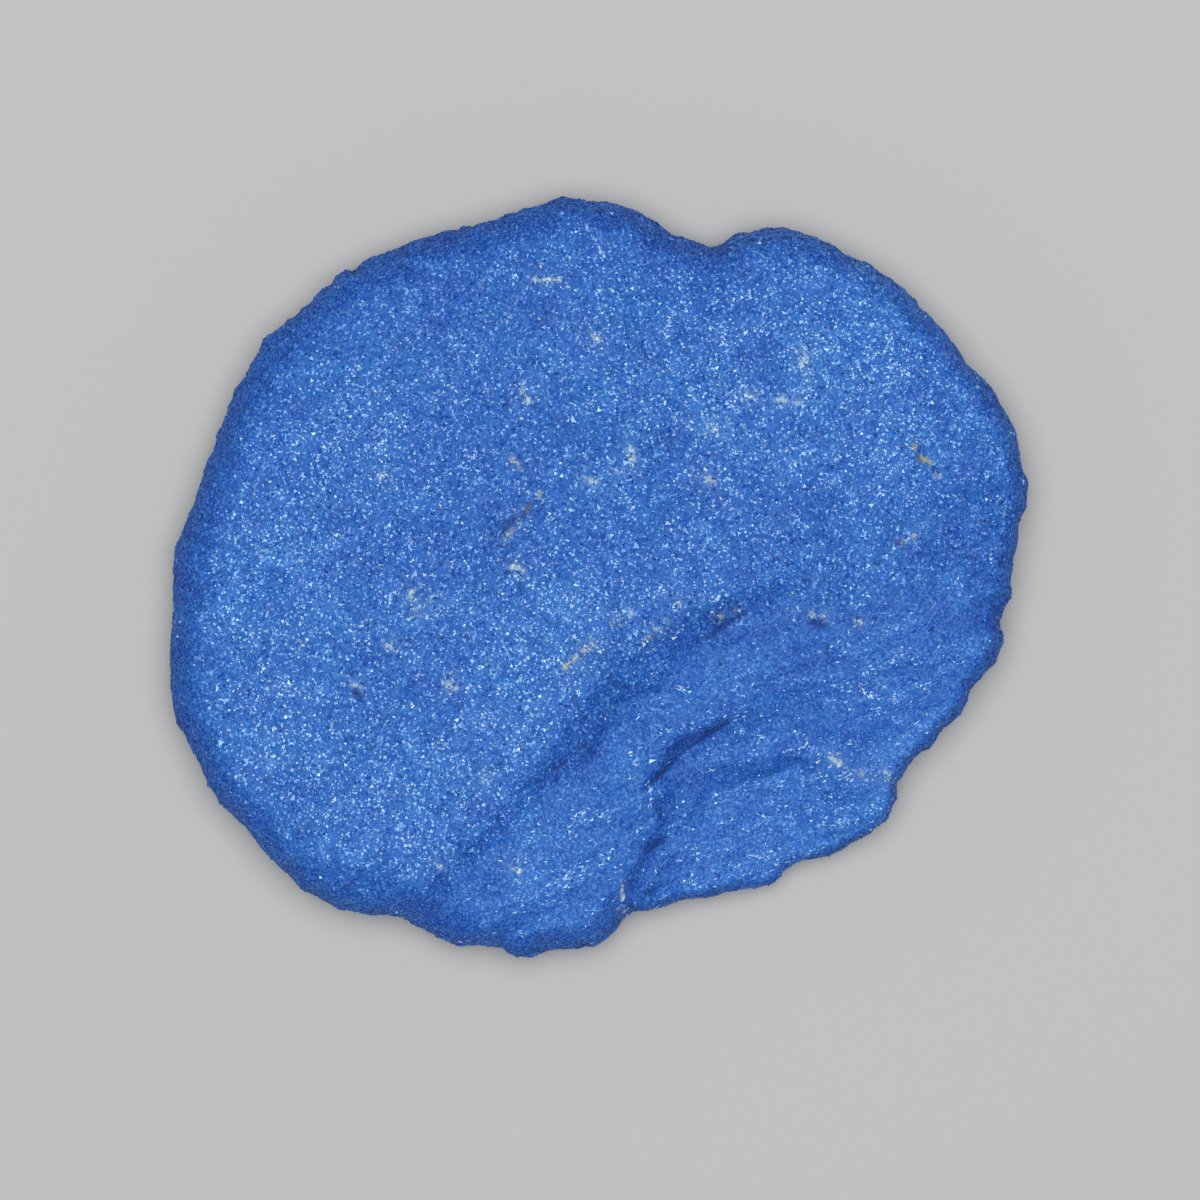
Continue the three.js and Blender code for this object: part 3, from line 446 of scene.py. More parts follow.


# ---------------------------------------------------------------- what marks the surface, and the light and shade painted on it, as amounts at any point
# Clay, pale crystals with painted glints, and the painted shade of dark cracks: x1, y1, x2, y2, half width, strength,
# kind (0 tan clay, 1 cream clay, 2 painted crack shade, 3 pale crystals and painted glints, 4 ochre clay).
MARKS = [
      [26.05, 11.36, 26.2, 10.4, 0.19, 0.9, 4], [26.6, 9.9, 27.45, 9.35, 0.25, 1.0, 4], [27.75, 8.8, 28.15, 8.25, 0.16, 0.6, 4], [26.38, 10.6, 26.42, 9.95, 0.1, 0.8, 2],
      [26.3, 9.9, 26.6, 9.5, 0.1, 0.75, 2], [27.6, 9.15, 27.75, 8.9, 0.1, 0.75, 2], [24.7, 2.95, 25.2, 2.6, 0.1, 0.8, 2], [-7.34, 10.16, -6.67, 8.99, 0.2, 0.7, 0], [-4.9, 6.97, -5.99, 5.54, 0.2, 0.5, 0], [-5.99, 5.54, -6.92, 4.28, 0.22, 0.65, 0],
      [-6.92, 4.28, -7.84, 3.19, 0.2, 0.75, 0], [-5.83, 5.96, -6.33, 4.96, 0.13, 0.8, 2], [-7.09, 4.87, -7.93, 3.78, 0.13, 0.8, 2], [-7.17, 0.76, -6.41, 0.59, 0.29, 0.9, 1],
      [-15.74, -1.43, -15.15, -2.52, 0.3, 0.95, 1], [-15.23, -2.27, -15.07, -3.11, 0.18, 0.6, 1], [-17.67, -5.54, -17.17, -5.96, 0.22, 0.8, 1], [-20.27, -8.99, -19.77, -9.49, 0.2, 0.7, 1],
      [-20.36, -9.49, -19.94, -10, 0.17, 0.9, 2], [-12.46, -8.9, -11.96, -9.24, 0.25, 0.9, 1], [-2.97, -7.64, -1.88, -6.72, 0.27, 0.85, 0], [-1.88, -6.72, -0.62, -5.8, 0.29, 0.9, 0],
      [-2.38, -6.97, -0.95, -6.05, 0.15, 0.7, 1], [4, -5.12, 4.76, -4.45, 0.25, 0.85, 0], [4.76, -4.45, 5.68, -3.7, 0.22, 0.85, 1], [1.06, -3.78, 1.48, -3.44, 0.22, 0.7, 0],
      [2.07, -3.36, 2.66, -2.86, 0.22, 0.8, 1], [6.35, -2.44, 6.86, -2.18, 0.22, 0.7, 1], [9.38, -1.85, 10.39, -1.43, 0.25, 0.8, 3], [9.04, -5.04, 10.22, -4.12, 0.13, 0.9, 2],
      [10.22, -4.12, 12.15, -2.86, 0.14, 0.9, 2], [9.8, -3.53, 11.39, -2.6, 0.18, 0.7, 0], [17.6, -3.2, 18.5, -3.3, 0.24, 1.0, 1], [17.8, -3.8, 18.4, -3.95, 0.2, 1.0, 2],
      [21.22, -3.61, 21.73, -3.86, 0.2, 0.7, 1], [16.85, 18.65, 17.11, 17.05, 0.25, 0.9, 1], [14.92, 14.62, 16.6, 14.45, 0.22, 0.8, 1], [12.23, 15.12, 12.74, 14.95, 0.2, 0.7, 1],
      [9.04, 12.52, 9.63, 12.01, 0.25, 0.8, 1], [8.79, 8.4, 9.46, 7.81, 0.29, 0.85, 1], [2.57, 10.67, 2.74, 9.07, 0.27, 0.85, 1], [-1.12, 8.06, -0.37, 7.9, 0.25, 0.75, 1],
      [1.4, 8.82, 1.9, 8.65, 0.2, 0.7, 1], [25.09, 2.86, 26.09, 3.36, 0.18, 0.75, 0], [-0.11, 27.47, 0.31, 26.8, 0.22, 0.8, 3], [-5.41, 24.7, -4.48, 24.61, 0.18, 0.85, 1],
      [-4.15, 24.61, -3.22, 24.7, 0.17, 0.8, 1], [-0.53, 20.16, -0.03, 19.49, 0.25, 0.85, 1], [-1.21, 21.25, -0.87, 20.83, 0.18, 0.7, 3], [-6.41, 15.37, -5.91, 14.62, 0.27, 0.85, 1],
      [-18.09, 8.4, -17.67, 7.98, 0.22, 0.7, 1], [-14.06, -13.19, -12.55, -14.03, 0.17, 0.6, 3], [-9.86, -16.3, -9.35, -16.72, 0.22, 0.75, 1], [-7.42, -24.02, -6.67, -24.36, 0.22, 0.75, 1],
      [-13.72, -23.77, -13.05, -24.19, 0.18, 0.6, 1], [-2.13, -19.99, -1.12, -19.4, 0.17, 0.85, 3], [19.46, -15.12, 20.13, -15.62, 0.25, 0.9, 1], [21.73, -16.3, 22.31, -16.88, 0.24, 0.8, 0],
      [23.83, -16.38, 24.5, -16.97, 0.22, 0.75, 1], [6.52, -9.32, 7.53, -9.49, 0.13, 0.95, 3], [7.19, -25.45, 8.2, -25.7, 0.13, 0.85, 3], [1.9, -25.28, 1.99, -26.54, 0.14, 0.7, 1],
      [1.99, -26.54, 2.07, -28.06, 0.14, 0.7, 1], [4.25, -17.39, 4.42, -19.24, 0.15, 0.6, 3], [4.93, -17.89, 5.35, -18.56, 0.15, 0.6, 3], [10.55, -12.26, 12.23, -11.34, 0.13, 0.5, 3],
      [11.81, -15.54, 12.82, -14.95, 0.15, 0.7, 3], [15.34, -14.7, 17.36, -14.03, 0.15, 0.6, 3], [8.45, -16.38, 9.46, -16.04, 0.15, 0.6, 3], [21.89, -9.49, 22.9, -10, 0.15, 0.5, 3],
      [-14.23, 16.88, -13.64, 16.38, 0.25, 0.6, 3], [9.55, 17.81, 9.8, 15.29, 0.22, 0.5, 3], [7.28, 12.6, 7.95, 12.01, 0.22, 0.5, 3], [4.34, -17.14, 5.09, -16.38, 0.12, 0.95, 2],
      [5.09, -16.38, 6.52, -15.04, 0.12, 0.9, 2], [6.52, -15.04, 8.96, -13.19, 0.1, 0.8, 2], [8.96, -13.19, 10.72, -12.1, 0.11, 0.85, 2], [-3.64, -15.96, -2.89, -15.37, 0.12, 0.8, 2],
      [-1.63, -14.36, -1.04, -13.69, 0.12, 0.8, 2], [0.64, -8.48, 0.98, -8.15, 0.11, 0.7, 2], [1.31, -9.07, 1.65, -8.74, 0.11, 0.7, 2], [4.25, -22.76, 5.18, -22.01, 0.2, 0.8, 2],
      [3.83, -26.54, 4.51, -26.12, 0.15, 0.7, 2], [9.88, -7.48, 10.3, -7.06, 0.11, 0.6, 2], [-21.03, -25.87, -20.69, -25.54, 0.13, 0.7, 2], [-20.78, -13.69, -20.44, -13.36, 0.12, 0.6, 2],
      [4.67, -19.24, 5.09, -19.74, 0.12, 0.5, 2], [22.73, 1.01, 23.41, 1.26, 0.1, 0.5, 2], [16.43, -0.67, 17.36, -0.08, 0.11, 0.55, 2], [28.36, 0.76, 28.61, 0.25, 0.1, 0.5, 2],
      [32.81, -1.93, 32.98, -3.19, 0.12, 0.5, 2],
]

# Broad patches of painted light and shade, where the colour is painted lighter or darker and more or fewer crystals are
# painted pale as glints or made glossy: x, y, spread, amount.
GLOW = [
      [-25.15, 3.11, 4.62, 0.3], [-26.41, -14.53, 3.78, 0.3], [-18.43, -20.83, 3.78, 0.3], [-16.75, 14.87, 4.62, 0.22], [8.45, 15.71, 5.04, 0.25], [22.73, 14.87, 5.04, 0.35],
      [21.05, 20.75, 3.36, 0.2], [-2.47, -3.61, 5.04, 0.25], [-10.03, -13.69, 5.04, 0.18], [3.41, 1.43, 5.04, 0.15], [-30.19, -5.29, 3.36, 0.2], [0.05, 27.47, 4.2, 0.12],
      [-4.57, -23.77, 3.36, 0.2], [21.89, -17.89, 2.18, 0.25], [20.21, -21.25, 2.18, 0.15], [12.65, -23.77, 2.52, 0.15], [25.25, -6.13, 3.36, 0.12], [-22.63, 9.83, 5.04, 0.1],
      [-3.73, 7.31, 6.72, -0.28], [-16.75, -6.13, 2.94, -0.18], [-20.53, -9.49, 1.68, -0.2], [-10.87, 2.69, 2.94, -0.12], [-10.03, 24.95, 9.24, -0.22], [5.09, 27.47, 3.36, -0.15],
      [13.75, 17.39, 2.02, -0.2], [20.21, 3.95, 1.34, -0.3], [32.81, 5.63, 2.94, -0.3], [27.77, 3.11, 2.52, -0.2], [1.73, -9.49, 2.86, -0.45], [6.77, -6.13, 2.86, -0.42],
      [-2.47, -14.53, 2.86, -0.42], [11.81, -3.19, 2.52, -0.3], [-5.83, -17.89, 1.85, -0.3], [-10.03, -23.35, 1.68, -0.35], [-13.39, -27.97, 2.02, -0.45], [5.93, -17.89, 2.18, -0.38],
      [8.45, -14.53, 1.68, -0.3], [12.65, -13.27, 2.18, -0.28], [16.85, -10.33, 2.86, -0.3], [18.11, -7.39, 1.51, -0.25], [25.25, 1.43, 3.36, -0.15], [30.29, -1.93, 3.36, -0.15],
      [-2.8, -16.6, 0.8, -0.5], [-1.2, -16.5, 0.8, -0.5], [0.1, -15.8, 0.8, -0.45],       [-33.5, -8.0, 1.9, -0.32], [-31.5, 8.0, 2.5, -0.35], [-27.5, 13.5, 3.0, -0.18], [-22.0, 21.0, 2.4, -0.25], [-16.5, 21.8, 4.2, -0.16], [-9.5, 25.0, 3.0, -0.1], [-3.7, 26.8, 1.8, -0.28], [0.8, 28.4, 1.2, -0.2],
      [-11.5, 13.2, 3.4, 0.22], [-16.8, 15.2, 2.2, 0.12], [-2.0, 14.6, 2.3, 0.30], [-12.5, 2.6, 1.7, 0.22], [-4.2, 1.8, 1.5, 0.15], [9.6, 16.0, 1.6, 0.22],
      [12.8, 8.4, 1.7, 0.2], [12.2, 3.4, 1.8, 0.15], [5.0, 10.6, 1.3, 0.15], [13.5, 14.8, 1.6, -0.25], [13.6, -10.0, 1.5, 0.32], [5.1, -18.4, 1.2, 0.35],
      [12.0, -16.2, 1.4, 0.15], [10.5, -19.4, 1.6, -0.32], [14.0, -20.2, 1.5, -0.15], [1.0, -15.6, 1.5, -0.32], [2.0, -11.6, 1.4, -0.2], [8.0, -8.0, 1.8, -0.15],
      [-3.9, -13.4, 1.2, 0.22], [26.0, -3.8, 2.1, -0.42], [22.0, -4.6, 1.5, -0.35], [15.0, -3.4, 2.0, -0.3], [31.0, -6.4, 1.9, -0.3], [29.0, -10.0, 1.4, -0.2],
      [17.8, -11.3, 1.1, -0.3], [25.0, -14.4, 1.1, -0.2], [-12.6, -15.6, 1.7, -0.22], [-16.3, -3.9, 1.3, -0.22], [-0.4, -25.0, 2.2, -0.28], [-6.0, -29.4, 0.9, -0.25],
      [-8.6, -27.8, 1.5, 0.3], [-17.2, -27.4, 1.4, 0.22], [-26.0, -24.4, 1.4, 0.28], [26.0, 19.0, 2.4, 0.15], [-26.0, -15.0, 1.8, 0.14], [-30.5, -19.0, 1.4, 0.15],
      [3.41, -24.19, 2.02, -0.35], [8.45, -20.41, 2.52, -0.2], [-4.99, -30.07, 2.52, -0.3], [-20.11, -25.87, 2.02, -0.25], [29.45, -10.33, 2.52, -0.1], [16.85, -1.93, 3.36, -0.15],
]


def mark_amounts(x, y):
    """Density of each kind of mark, 0 to 1, uneven along its length and thinning out at its sides."""
    found = np.zeros((5, len(x)))
    ragged = 0.9 * noise(x / 0.42, y / 0.42, 41) + 0.7 * noise(x / 0.2, y / 0.2, 42)
    for x1, y1, x2, y2, w, s, kind in MARKS:
        near = (np.abs(x - (x1 + x2) / 2) < 3) & (np.abs(y - (y1 + y2) / 2) < 3)
        d, _ = to_line(x[near], y[near], (x1, y1), (x2, y2))
        here = s * np.clip(1.35 * np.exp(-0.5 * (d / ((1.15 if kind == 2 else 0.62) * w)) ** 2), 0, 1) * (1.0 if kind == 2 else np.clip((0.55, 0.8, 1, 1.2, 0.85)[kind] + ragged[near], 0, 1.3))
        if kind in (0, 1):
            here = np.maximum(here, 0.08 * s * np.exp(-0.5 * (d / (2.6 * w)) ** 2))
        found[kind, near] = np.maximum(found[kind, near], here)
    return found


def patches_at(x, y):
    g = np.zeros(len(x))
    for cx, cy, s, h in GLOW:
        g += h * np.exp(-0.5 * ((x - cx) ** 2 + (y - cy) ** 2) / s**2)
    return g


# Painted light and shade from the GLOW patches, plus tone that differs at random: even noise on the face and streaks on
# the lower terraces.
def glow_at(x, y):
    g = 0.62 * patches_at(x, y)
    plain = 0.18 * noise(x / 3.1, y / 3.1, 51) + 0.24 * noise(x / 1.3, y / 1.3, 52) + 0.22 * noise(x / 0.6, y / 0.6, 53)
    u, v = x * math.cos(0.38) + y * math.sin(0.38), y * math.cos(0.38) - x * math.sin(0.38)
    flow = 0.26 * noise(u / 4.6, v / 1.3, 54) + 0.28 * noise(u / 1.9, v / 0.6, 55) + 0.14 * noise(x / 0.5, y / 0.5, 56)
    low = smooth(step_side(x, y, steps[0]) / 3 + 0.2)
    return g + plain * (1 - low) + (flow - 0.06) * low


def in_from_edge(x, y):
    a = np.arctan2(y - CENTRE[1], x - CENTRE[0])
    return a, np.interp(a, fine_angle, even_radius) - np.hypot(x - CENTRE[0], y - CENTRE[1])


def pit_shade_at(x, y):
    """Painted shade of small pits: dark spots where two noises are both high, closer together along the upper rim."""
    a, d = in_from_edge(x, y)
    often = 0.22 + 0.31 * (1 - smooth((d - 1) / 4)) * smooth(0.75 + np.sin(a + 0.1))
    often = often + 0.16 * np.exp(-0.5 * (((x - 27) / 7) ** 2 + ((y + 2) / 5) ** 2))
    foot = step_side(x, y, steps[0])
    often = often + 0.17 * np.exp(-0.5 * ((foot - 0.5) / 1.4) ** 2) * smooth((x + 7) / 3) * smooth((15 - x) / 4) - 0.07 * smooth(foot / 3 - 0.5)
    deep = noise(x / 0.22, y / 0.22, 71) + 0.6 * noise(x / 0.5, y / 0.5, 72)
    return smooth((deep - 1.15 + often) / 0.3)


def calm_at(x, y):
    """Where the crust is finer and more even: the rounded rim, most of all on the left."""
    a, d = in_from_edge(x, y)
    leftward = smooth((-np.cos(a) - 0.2) / 0.5)
    return (0.5 + 0.5 * leftward) * (1 - smooth((d - 0.5) / (3.9 + 1.2 * leftward)))


def glint_at(x, y):
    """How much more or less often than usual a crystal catches the light. This sets its gloss and how often it is
    painted pale as a glint, a painted highlight. The rounded rim seldom does.
    """
    low = smooth(step_side(x, y, steps[0]) / 3 + 0.2)
    u, v = x * math.cos(0.38) + y * math.sin(0.38), y * math.cos(0.38) - x * math.sin(0.38)
    rows = 0.34 * noise(u / 1.3, v / 0.28, 57) + 0.22 * noise(u / 3.5, v / 1.1, 58)
    clumps = 0.42 * noise(x / 0.33, y / 0.33, 59)
    right = 0.08 * np.exp(-0.5 * (((x - 15) / 7) ** 2 + ((y + 14) / 5) ** 2)) - 0.06 * np.exp(-0.5 * ((x + 3.6) ** 2 + (y + 15.5) ** 2) / 3.5**2)
    return glow_at(x, y) + rows * low + clumps * (1 - low) + 0.4 * patches_at(x, y) - 0.55 * calm_at(x, y) - 0.03 * low + 0.04 + right


# ---------------------------------------------------------------- body
FACE_PITCH, BACK_PITCH = 0.30, 0.37
v0, tris, tri_face, share, side = build_body(FACE_PITCH, BACK_PITCH, 20, 14)
smooth_normals = normals_of(v0, tris)
x, y = v0[:, 0], v0[:, 1]
on_face = side >= 0

# Lumps of the crust, 0.5 to 3 mm across, then the facets of single grains.
lump = 0.095 * noise(x / 1.5, y / 1.5, 61) + 0.08 * noise(x / 0.75 + 9, y / 0.75, 62) + 0.13 * noise(x / 3.4, y / 3.4 + 5, 63)
low_body = smooth(step_side(x, y, steps[0]) / 3 + 0.2)
streak_u, streak_v = x * math.cos(0.38) + y * math.sin(0.38), y * math.cos(0.38) - x * math.sin(0.38)
streaks = 0.11 * noise(streak_u / 4.2, streak_v / 0.95, 67) + 0.08 * noise(streak_u / 2.0, streak_v / 0.5, 68) + 0.04 * noise(x / 0.7, y / 0.7, 69)
lump = lump * (1 - 0.75 * low_body) + streaks * low_body
rim_turn = np.arctan2(y - CENTRE[1], x - CENTRE[0]) * 31
toothed = smooth((rim_turn / 31 - 1.45) / 0.3) * smooth((2.95 - rim_turn / 31) / 0.3)
rim_lump = 0.10 * noise(rim_turn / 1.6, v0[:, 2] / 1.6, 64) + (0.08 + 0.09 * toothed) * noise(rim_turn / 0.75, v0[:, 2] / 1.7, 65) + 0.06 * noise(rim_turn / 0.35, v0[:, 2] / 0.5, 66)
steep = smooth((0.75 - np.abs(smooth_normals[:, 2])) / 0.5)
lump = lump * (1 - steep) + rim_lump * steep
resting = (~on_face) & (v0[:, 2] < 0.02)
lift = np.where(resting, 0.0, lump)
inset = np.where(resting, 0.02, 0.13)
base = v0 + smooth_normals * (lift - inset)[:, None]
over = np.maximum(0.0, base[:, 2] - 8.95)
base[:, 2] += 0.17 * np.tanh(over / 0.17) - over
base_normals = normals_of(base, tris)
grit = rng.uniform(-1, 1, len(v0)) * np.where(resting, 0.015, 0.055)
body_v = base + base_normals * grit[:, None]
body_v[:, 2] = np.maximum(body_v[:, 2], 0.0)

glow = glow_at(x, y)
marks = mark_amounts(x, y)
# Painted shade: the steeper the face, the darker its colour, and the back is darker all over.
slope = 1 - smooth_normals[:, 2] ** 2 * on_face
uv = np.empty((len(tris), 3, 2))
angle = np.arctan2(v0[:, 1] - CENTRE[1], v0[:, 0] - CENTRE[0])
disc_uv = np.stack([0.5 + 0.49 * share * np.cos(angle), 0.5 + 0.49 * share * np.sin(angle)], 1)
uv[:] = disc_uv[tris]
uv[..., 0] = uv[..., 0] * 0.5 + np.where(tri_face, 0.0, 0.5)[:, None]

# ---------------------------------------------------------------- crystals
chip_tris = np.array([(0, 1, 2), (0, 3, 1), (1, 3, 2), (2, 3, 0)])
# Where the corners of a crystal's four faces lie in its cell of the flat layout, for a flat-topped one and for a pointed one.
flat_cell = np.array([[(0.08, 0.08), (0.80, 0.08), (0.08, 0.80)]] + [[(0.94, 0.94), (0.94, 0.55), (0.55, 0.94)]] * 3)
out_a, out_b, out_c, mid_p = (0.06, 0.06), (0.88, 0.06), (0.30, 0.94), (0.41, 0.35)
point_cell = np.array([[(0.94, 0.94), (0.94, 0.72), (0.78, 0.94)], [out_a, mid_p, out_b], [out_b, mid_p, out_c], [out_c, mid_p, out_a]])


def spread(weights, count):
    """Triangles and points on them, evenly by area."""
    area = 0.5 * np.linalg.norm(np.cross(base[tris[:, 1]] - base[tris[:, 0]], base[tris[:, 2]] - base[tris[:, 0]]), axis=1) * weights
    total = np.cumsum(area)
    at = (np.arange(count) + rng.uniform(0, 1, count)) / count * total[-1]
    t = np.minimum(np.searchsorted(total, at), len(tris) - 1)
    a, b = rng.uniform(0, 1, (2, count))
    flip = a + b > 1
    a[flip], b[flip] = 1 - a[flip], 1 - b[flip]
    w = np.stack([1 - a - b, a, b], 1)[:, :, None]
    p = (base[tris[t]] * w).sum(1)
    n = (base_normals[tris[t]] * w).sum(1)
    return p, n / np.linalg.norm(n, axis=1, keepdims=True), (slope[tris[t]] * w[:, :, 0]).sum(1)


def unit(v):
    return v / np.maximum(np.linalg.norm(v, axis=1, keepdims=True), 1e-12)


def crystals(name, p, n, tilted, reach, long, rise, tilt, lean_share, pointed_share, pale_glint_share, materials):
    """One mesh of closed four-cornered crystals, each set a little way into the body: flat-topped ones and pointed ones."""
    count = len(p)
    glow, glint = glow_at(p[:, 0], p[:, 1]), glint_at(p[:, 0], p[:, 1])
    found = mark_amounts(p[:, 0], p[:, 1])
    found[:, n[:, 2] < 0] *= 0.0
    level = np.clip(1 - 1.7 * tilted, 0.12, 1)
    # Pale crystals: partly painted glints, which are painted highlights, more often where crystals catch the light and
    # less often on tilted parts; partly the pale crystals of the marks.
    glint_odds = pale_glint_share * np.clip(0.74 * np.exp(3.0 * glint), 0.03, 4.5) * level * (1 - 0.15 * lean_share)
    pale_and_glint = (rng.uniform(0, 1, count) < glint_odds) * (1 - (1 - 0.4 * lean_share) * rng.uniform(0, 0.86, count))
    pale_and_glint = np.maximum(pale_and_glint, (rng.uniform(0, 1, count) < found[3]) * rng.uniform(0.5, 1.0, count))
    clay = (rng.uniform(0, 1, count) < np.maximum(np.maximum(found[0], found[4]), 0.8 * found[1])) * rng.uniform(0.45, 1.0, count)
    clay = np.maximum(clay, rng.uniform(0.3, 0.8, count) * (rng.uniform(0, 1, count) < 0.0035 * np.clip(1 + 2 * glint, 0, 3)))
    streaky = (pale_and_glint > 0) & (lean_share > 0.2)
    long = np.where(streaky, long * 1.35, np.where(pale_and_glint > 0, 1.0, long))
    reach = np.where(streaky, reach * 0.8, np.where(pale_and_glint > 0, reach * 0.85, reach))
    rise = rise + 0.03 * (pale_and_glint > 0)
    # Painted shade: crystals painted dark in the cracks and pits, and at random as further shaded pits.
    painted_hollow_shade = np.maximum(found[2], (rng.uniform(0, 1, count) < 0.035 * (1 - lean_share)) * rng.uniform(0.4, 1.0, count))
    painted_hollow_shade = np.maximum(painted_hollow_shade, 0.9 * pit_shade_at(p[:, 0], p[:, 1]) * (n[:, 2] > 0.1))
    pale_and_glint = pale_and_glint * (painted_hollow_shade < 0.4)
    pointed = rng.uniform(0, 1, count) < pointed_share
    up = unit(n + rng.normal(0, 1, (count, 3)) * tilt[:, None])
    way = rng.uniform(0, 2 * math.pi, count)
    lean = lean_share > rng.uniform(0, 1, count)
    way[lean] = rng.normal(math.radians(18), 0.4, lean.sum())
    t = np.stack([np.cos(way), np.sin(way), np.where(lean, 0, rng.uniform(-1, 1, count))], 1)
    t = unit(t - (t * up).sum(1, keepdims=True) * up)
    m = np.cross(up, t)
    turn = rng.uniform(0, 2 * math.pi, count)[:, None] + np.array([0, 2, 4]) * math.pi / 3 + rng.uniform(-0.5, 0.5, (count, 3))
    turn = np.where(pointed[:, None], -turn, turn)
    r = reach[:, None] * rng.uniform(0.75, 1.25, (count, 3)) * np.where(pointed, 1.25, 1.0)[:, None]
    local = np.zeros((count, 4, 3))
    local[:, :3, 0] = r * np.cos(turn) * long[:, None]
    local[:, :3, 1] = r * np.sin(turn) / np.sqrt(long)[:, None]
    local[:, :3, 2] = np.where(pointed[:, None], -0.04, rise[:, None] * rng.uniform(0.3, 1.0, (count, 3)))
    local[:, 3, :2] = rng.uniform(-0.3, 0.3, (count, 2)) * reach[:, None]
    local[:, 3, 2] = np.where(pointed, rise * 1.35, -0.12 - 0.4 * reach)
    v = p[:, None] + local[:, :, :1] * t[:, None] + local[:, :, 1:2] * m[:, None] + local[:, :, 2:] * up[:, None]
    v = v.reshape(-1, 3)
    v[:, 2] = np.maximum(v[:, 2], 0.0)
    f = (chip_tris[None] + 4 * np.arange(count)[:, None, None]).reshape(-1, 3)
    per = {
        "grain": 0.5 + rng.uniform(-0.5, 0.5, count) * (1.08 - 1.28 * lean_share) * (1 - 0.5 * calm_at(p[:, 0], p[:, 1])),
        "pale_and_glint": pale_and_glint,
        "clay": clay,
        "cream": np.where(found[4] > 0.2, 0.0, np.where(found[1] > found[0], 1.0, np.where(found[0] > 0.1, 0.4, rng.uniform(0.5, 1, count)))),
        "painted_hollow_shade": painted_hollow_shade,
        # Painted light and shade from the GLOW patches, with random tone.
        "tone_and_painted_light": np.clip(0.5 + 0.36 * glow, 0, 1),
        "gloss": np.clip(rng.uniform(0, 1, count) * np.clip(1.25 * np.exp(2.0 * glint), 0.2, 1.7), 0, 1) * (0.35 + 0.65 * level) * (1 - 0.4 * lean_share) - 0.5 * lean_share * (rng.uniform(0, 1, count) < 0.93),
        # Painted shade: the steeper the crystal stands, the darker its colour.
        "slope": tilted,
    }
    attributes = {k: np.repeat(a, 4) for k, a in per.items()}
    tip = np.zeros((count, 4))
    tip[:, :3], tip[:, 3] = np.where(pointed, 0.0, 1.0)[:, None], np.where(pointed, 1.0, 0.0)
    attributes["tip"] = tip.reshape(-1)
    across = int(math.ceil(math.sqrt(count)))
    cell = np.stack([np.arange(count) % across, np.arange(count) // across], 1)[:, None, None]
    uv = (cell + np.where(pointed[:, None, None, None], point_cell[None], flat_cell[None])) / across
    return make_mesh(name, v, f, attributes, uv.reshape(-1, 2), materials)


# ---------------------------------------------------------------- materials
def node(nt, kind, **values):
    n = nt.nodes.new(kind)
    for key, value in values.items():
        if key.startswith("in_"):
            n.inputs[key[3:].replace("_", " ")].default_value = value
        else:
            setattr(n, key, value)
    return n


def attribute(nt, name):
    return node(nt, "ShaderNodeAttribute", attribute_name=name).outputs["Fac"]


def mix(nt, factor, a, b, blend="MIX"):
    n = node(nt, "ShaderNodeMix", data_type="RGBA", blend_type=blend)
    links = ((n.inputs[0], factor), (n.inputs[6], a), (n.inputs[7], b))
    for socket, value in links:
        if isinstance(value, (float, int)):
            socket.default_value = value
        elif isinstance(value, tuple):
            socket.default_value = (*value, 1.0)
        else:
            nt.links.new(value, socket)
    return n.outputs[2]


def maths(nt, operation, a, b=0.0, c=None):
    n = node(nt, "ShaderNodeMath", operation=operation)
    for socket, value in zip(n.inputs, (a, b, c)):
        if value is None:
            continue
        if isinstance(value, (float, int)):
            socket.default_value = value
        else:
            nt.links.new(value, socket)
    return n.outputs[0]


def noise_tex(nt, where, size_mm, detail=3.0, rough=0.55):
    n = node(nt, "ShaderNodeTexNoise", in_Scale=1000 / size_mm, in_Detail=detail, in_Roughness=rough)
    nt.links.new(where, n.inputs["Vector"])
    return n.outputs["Fac"]


def ramp(nt, factor, stops):
    n = nt.nodes.new("ShaderNodeValToRGB")
    while len(n.color_ramp.elements) < len(stops):
        n.color_ramp.elements.new(0.5)
    for e, (at, colour) in zip(n.color_ramp.elements, stops):
        e.position, e.color = at, (*colour, 1.0)
    nt.links.new(factor, n.inputs["Fac"])
    return n.outputs["Color"]


def ramp_value(nt, factor, low, high):
    n = node(nt, "ShaderNodeMapRange", interpolation_type="SMOOTHSTEP")
    n.inputs["From Min"].default_value, n.inputs["From Max"].default_value = low, high
    nt.links.new(factor, n.inputs["Value"])
    return n.outputs["Result"]


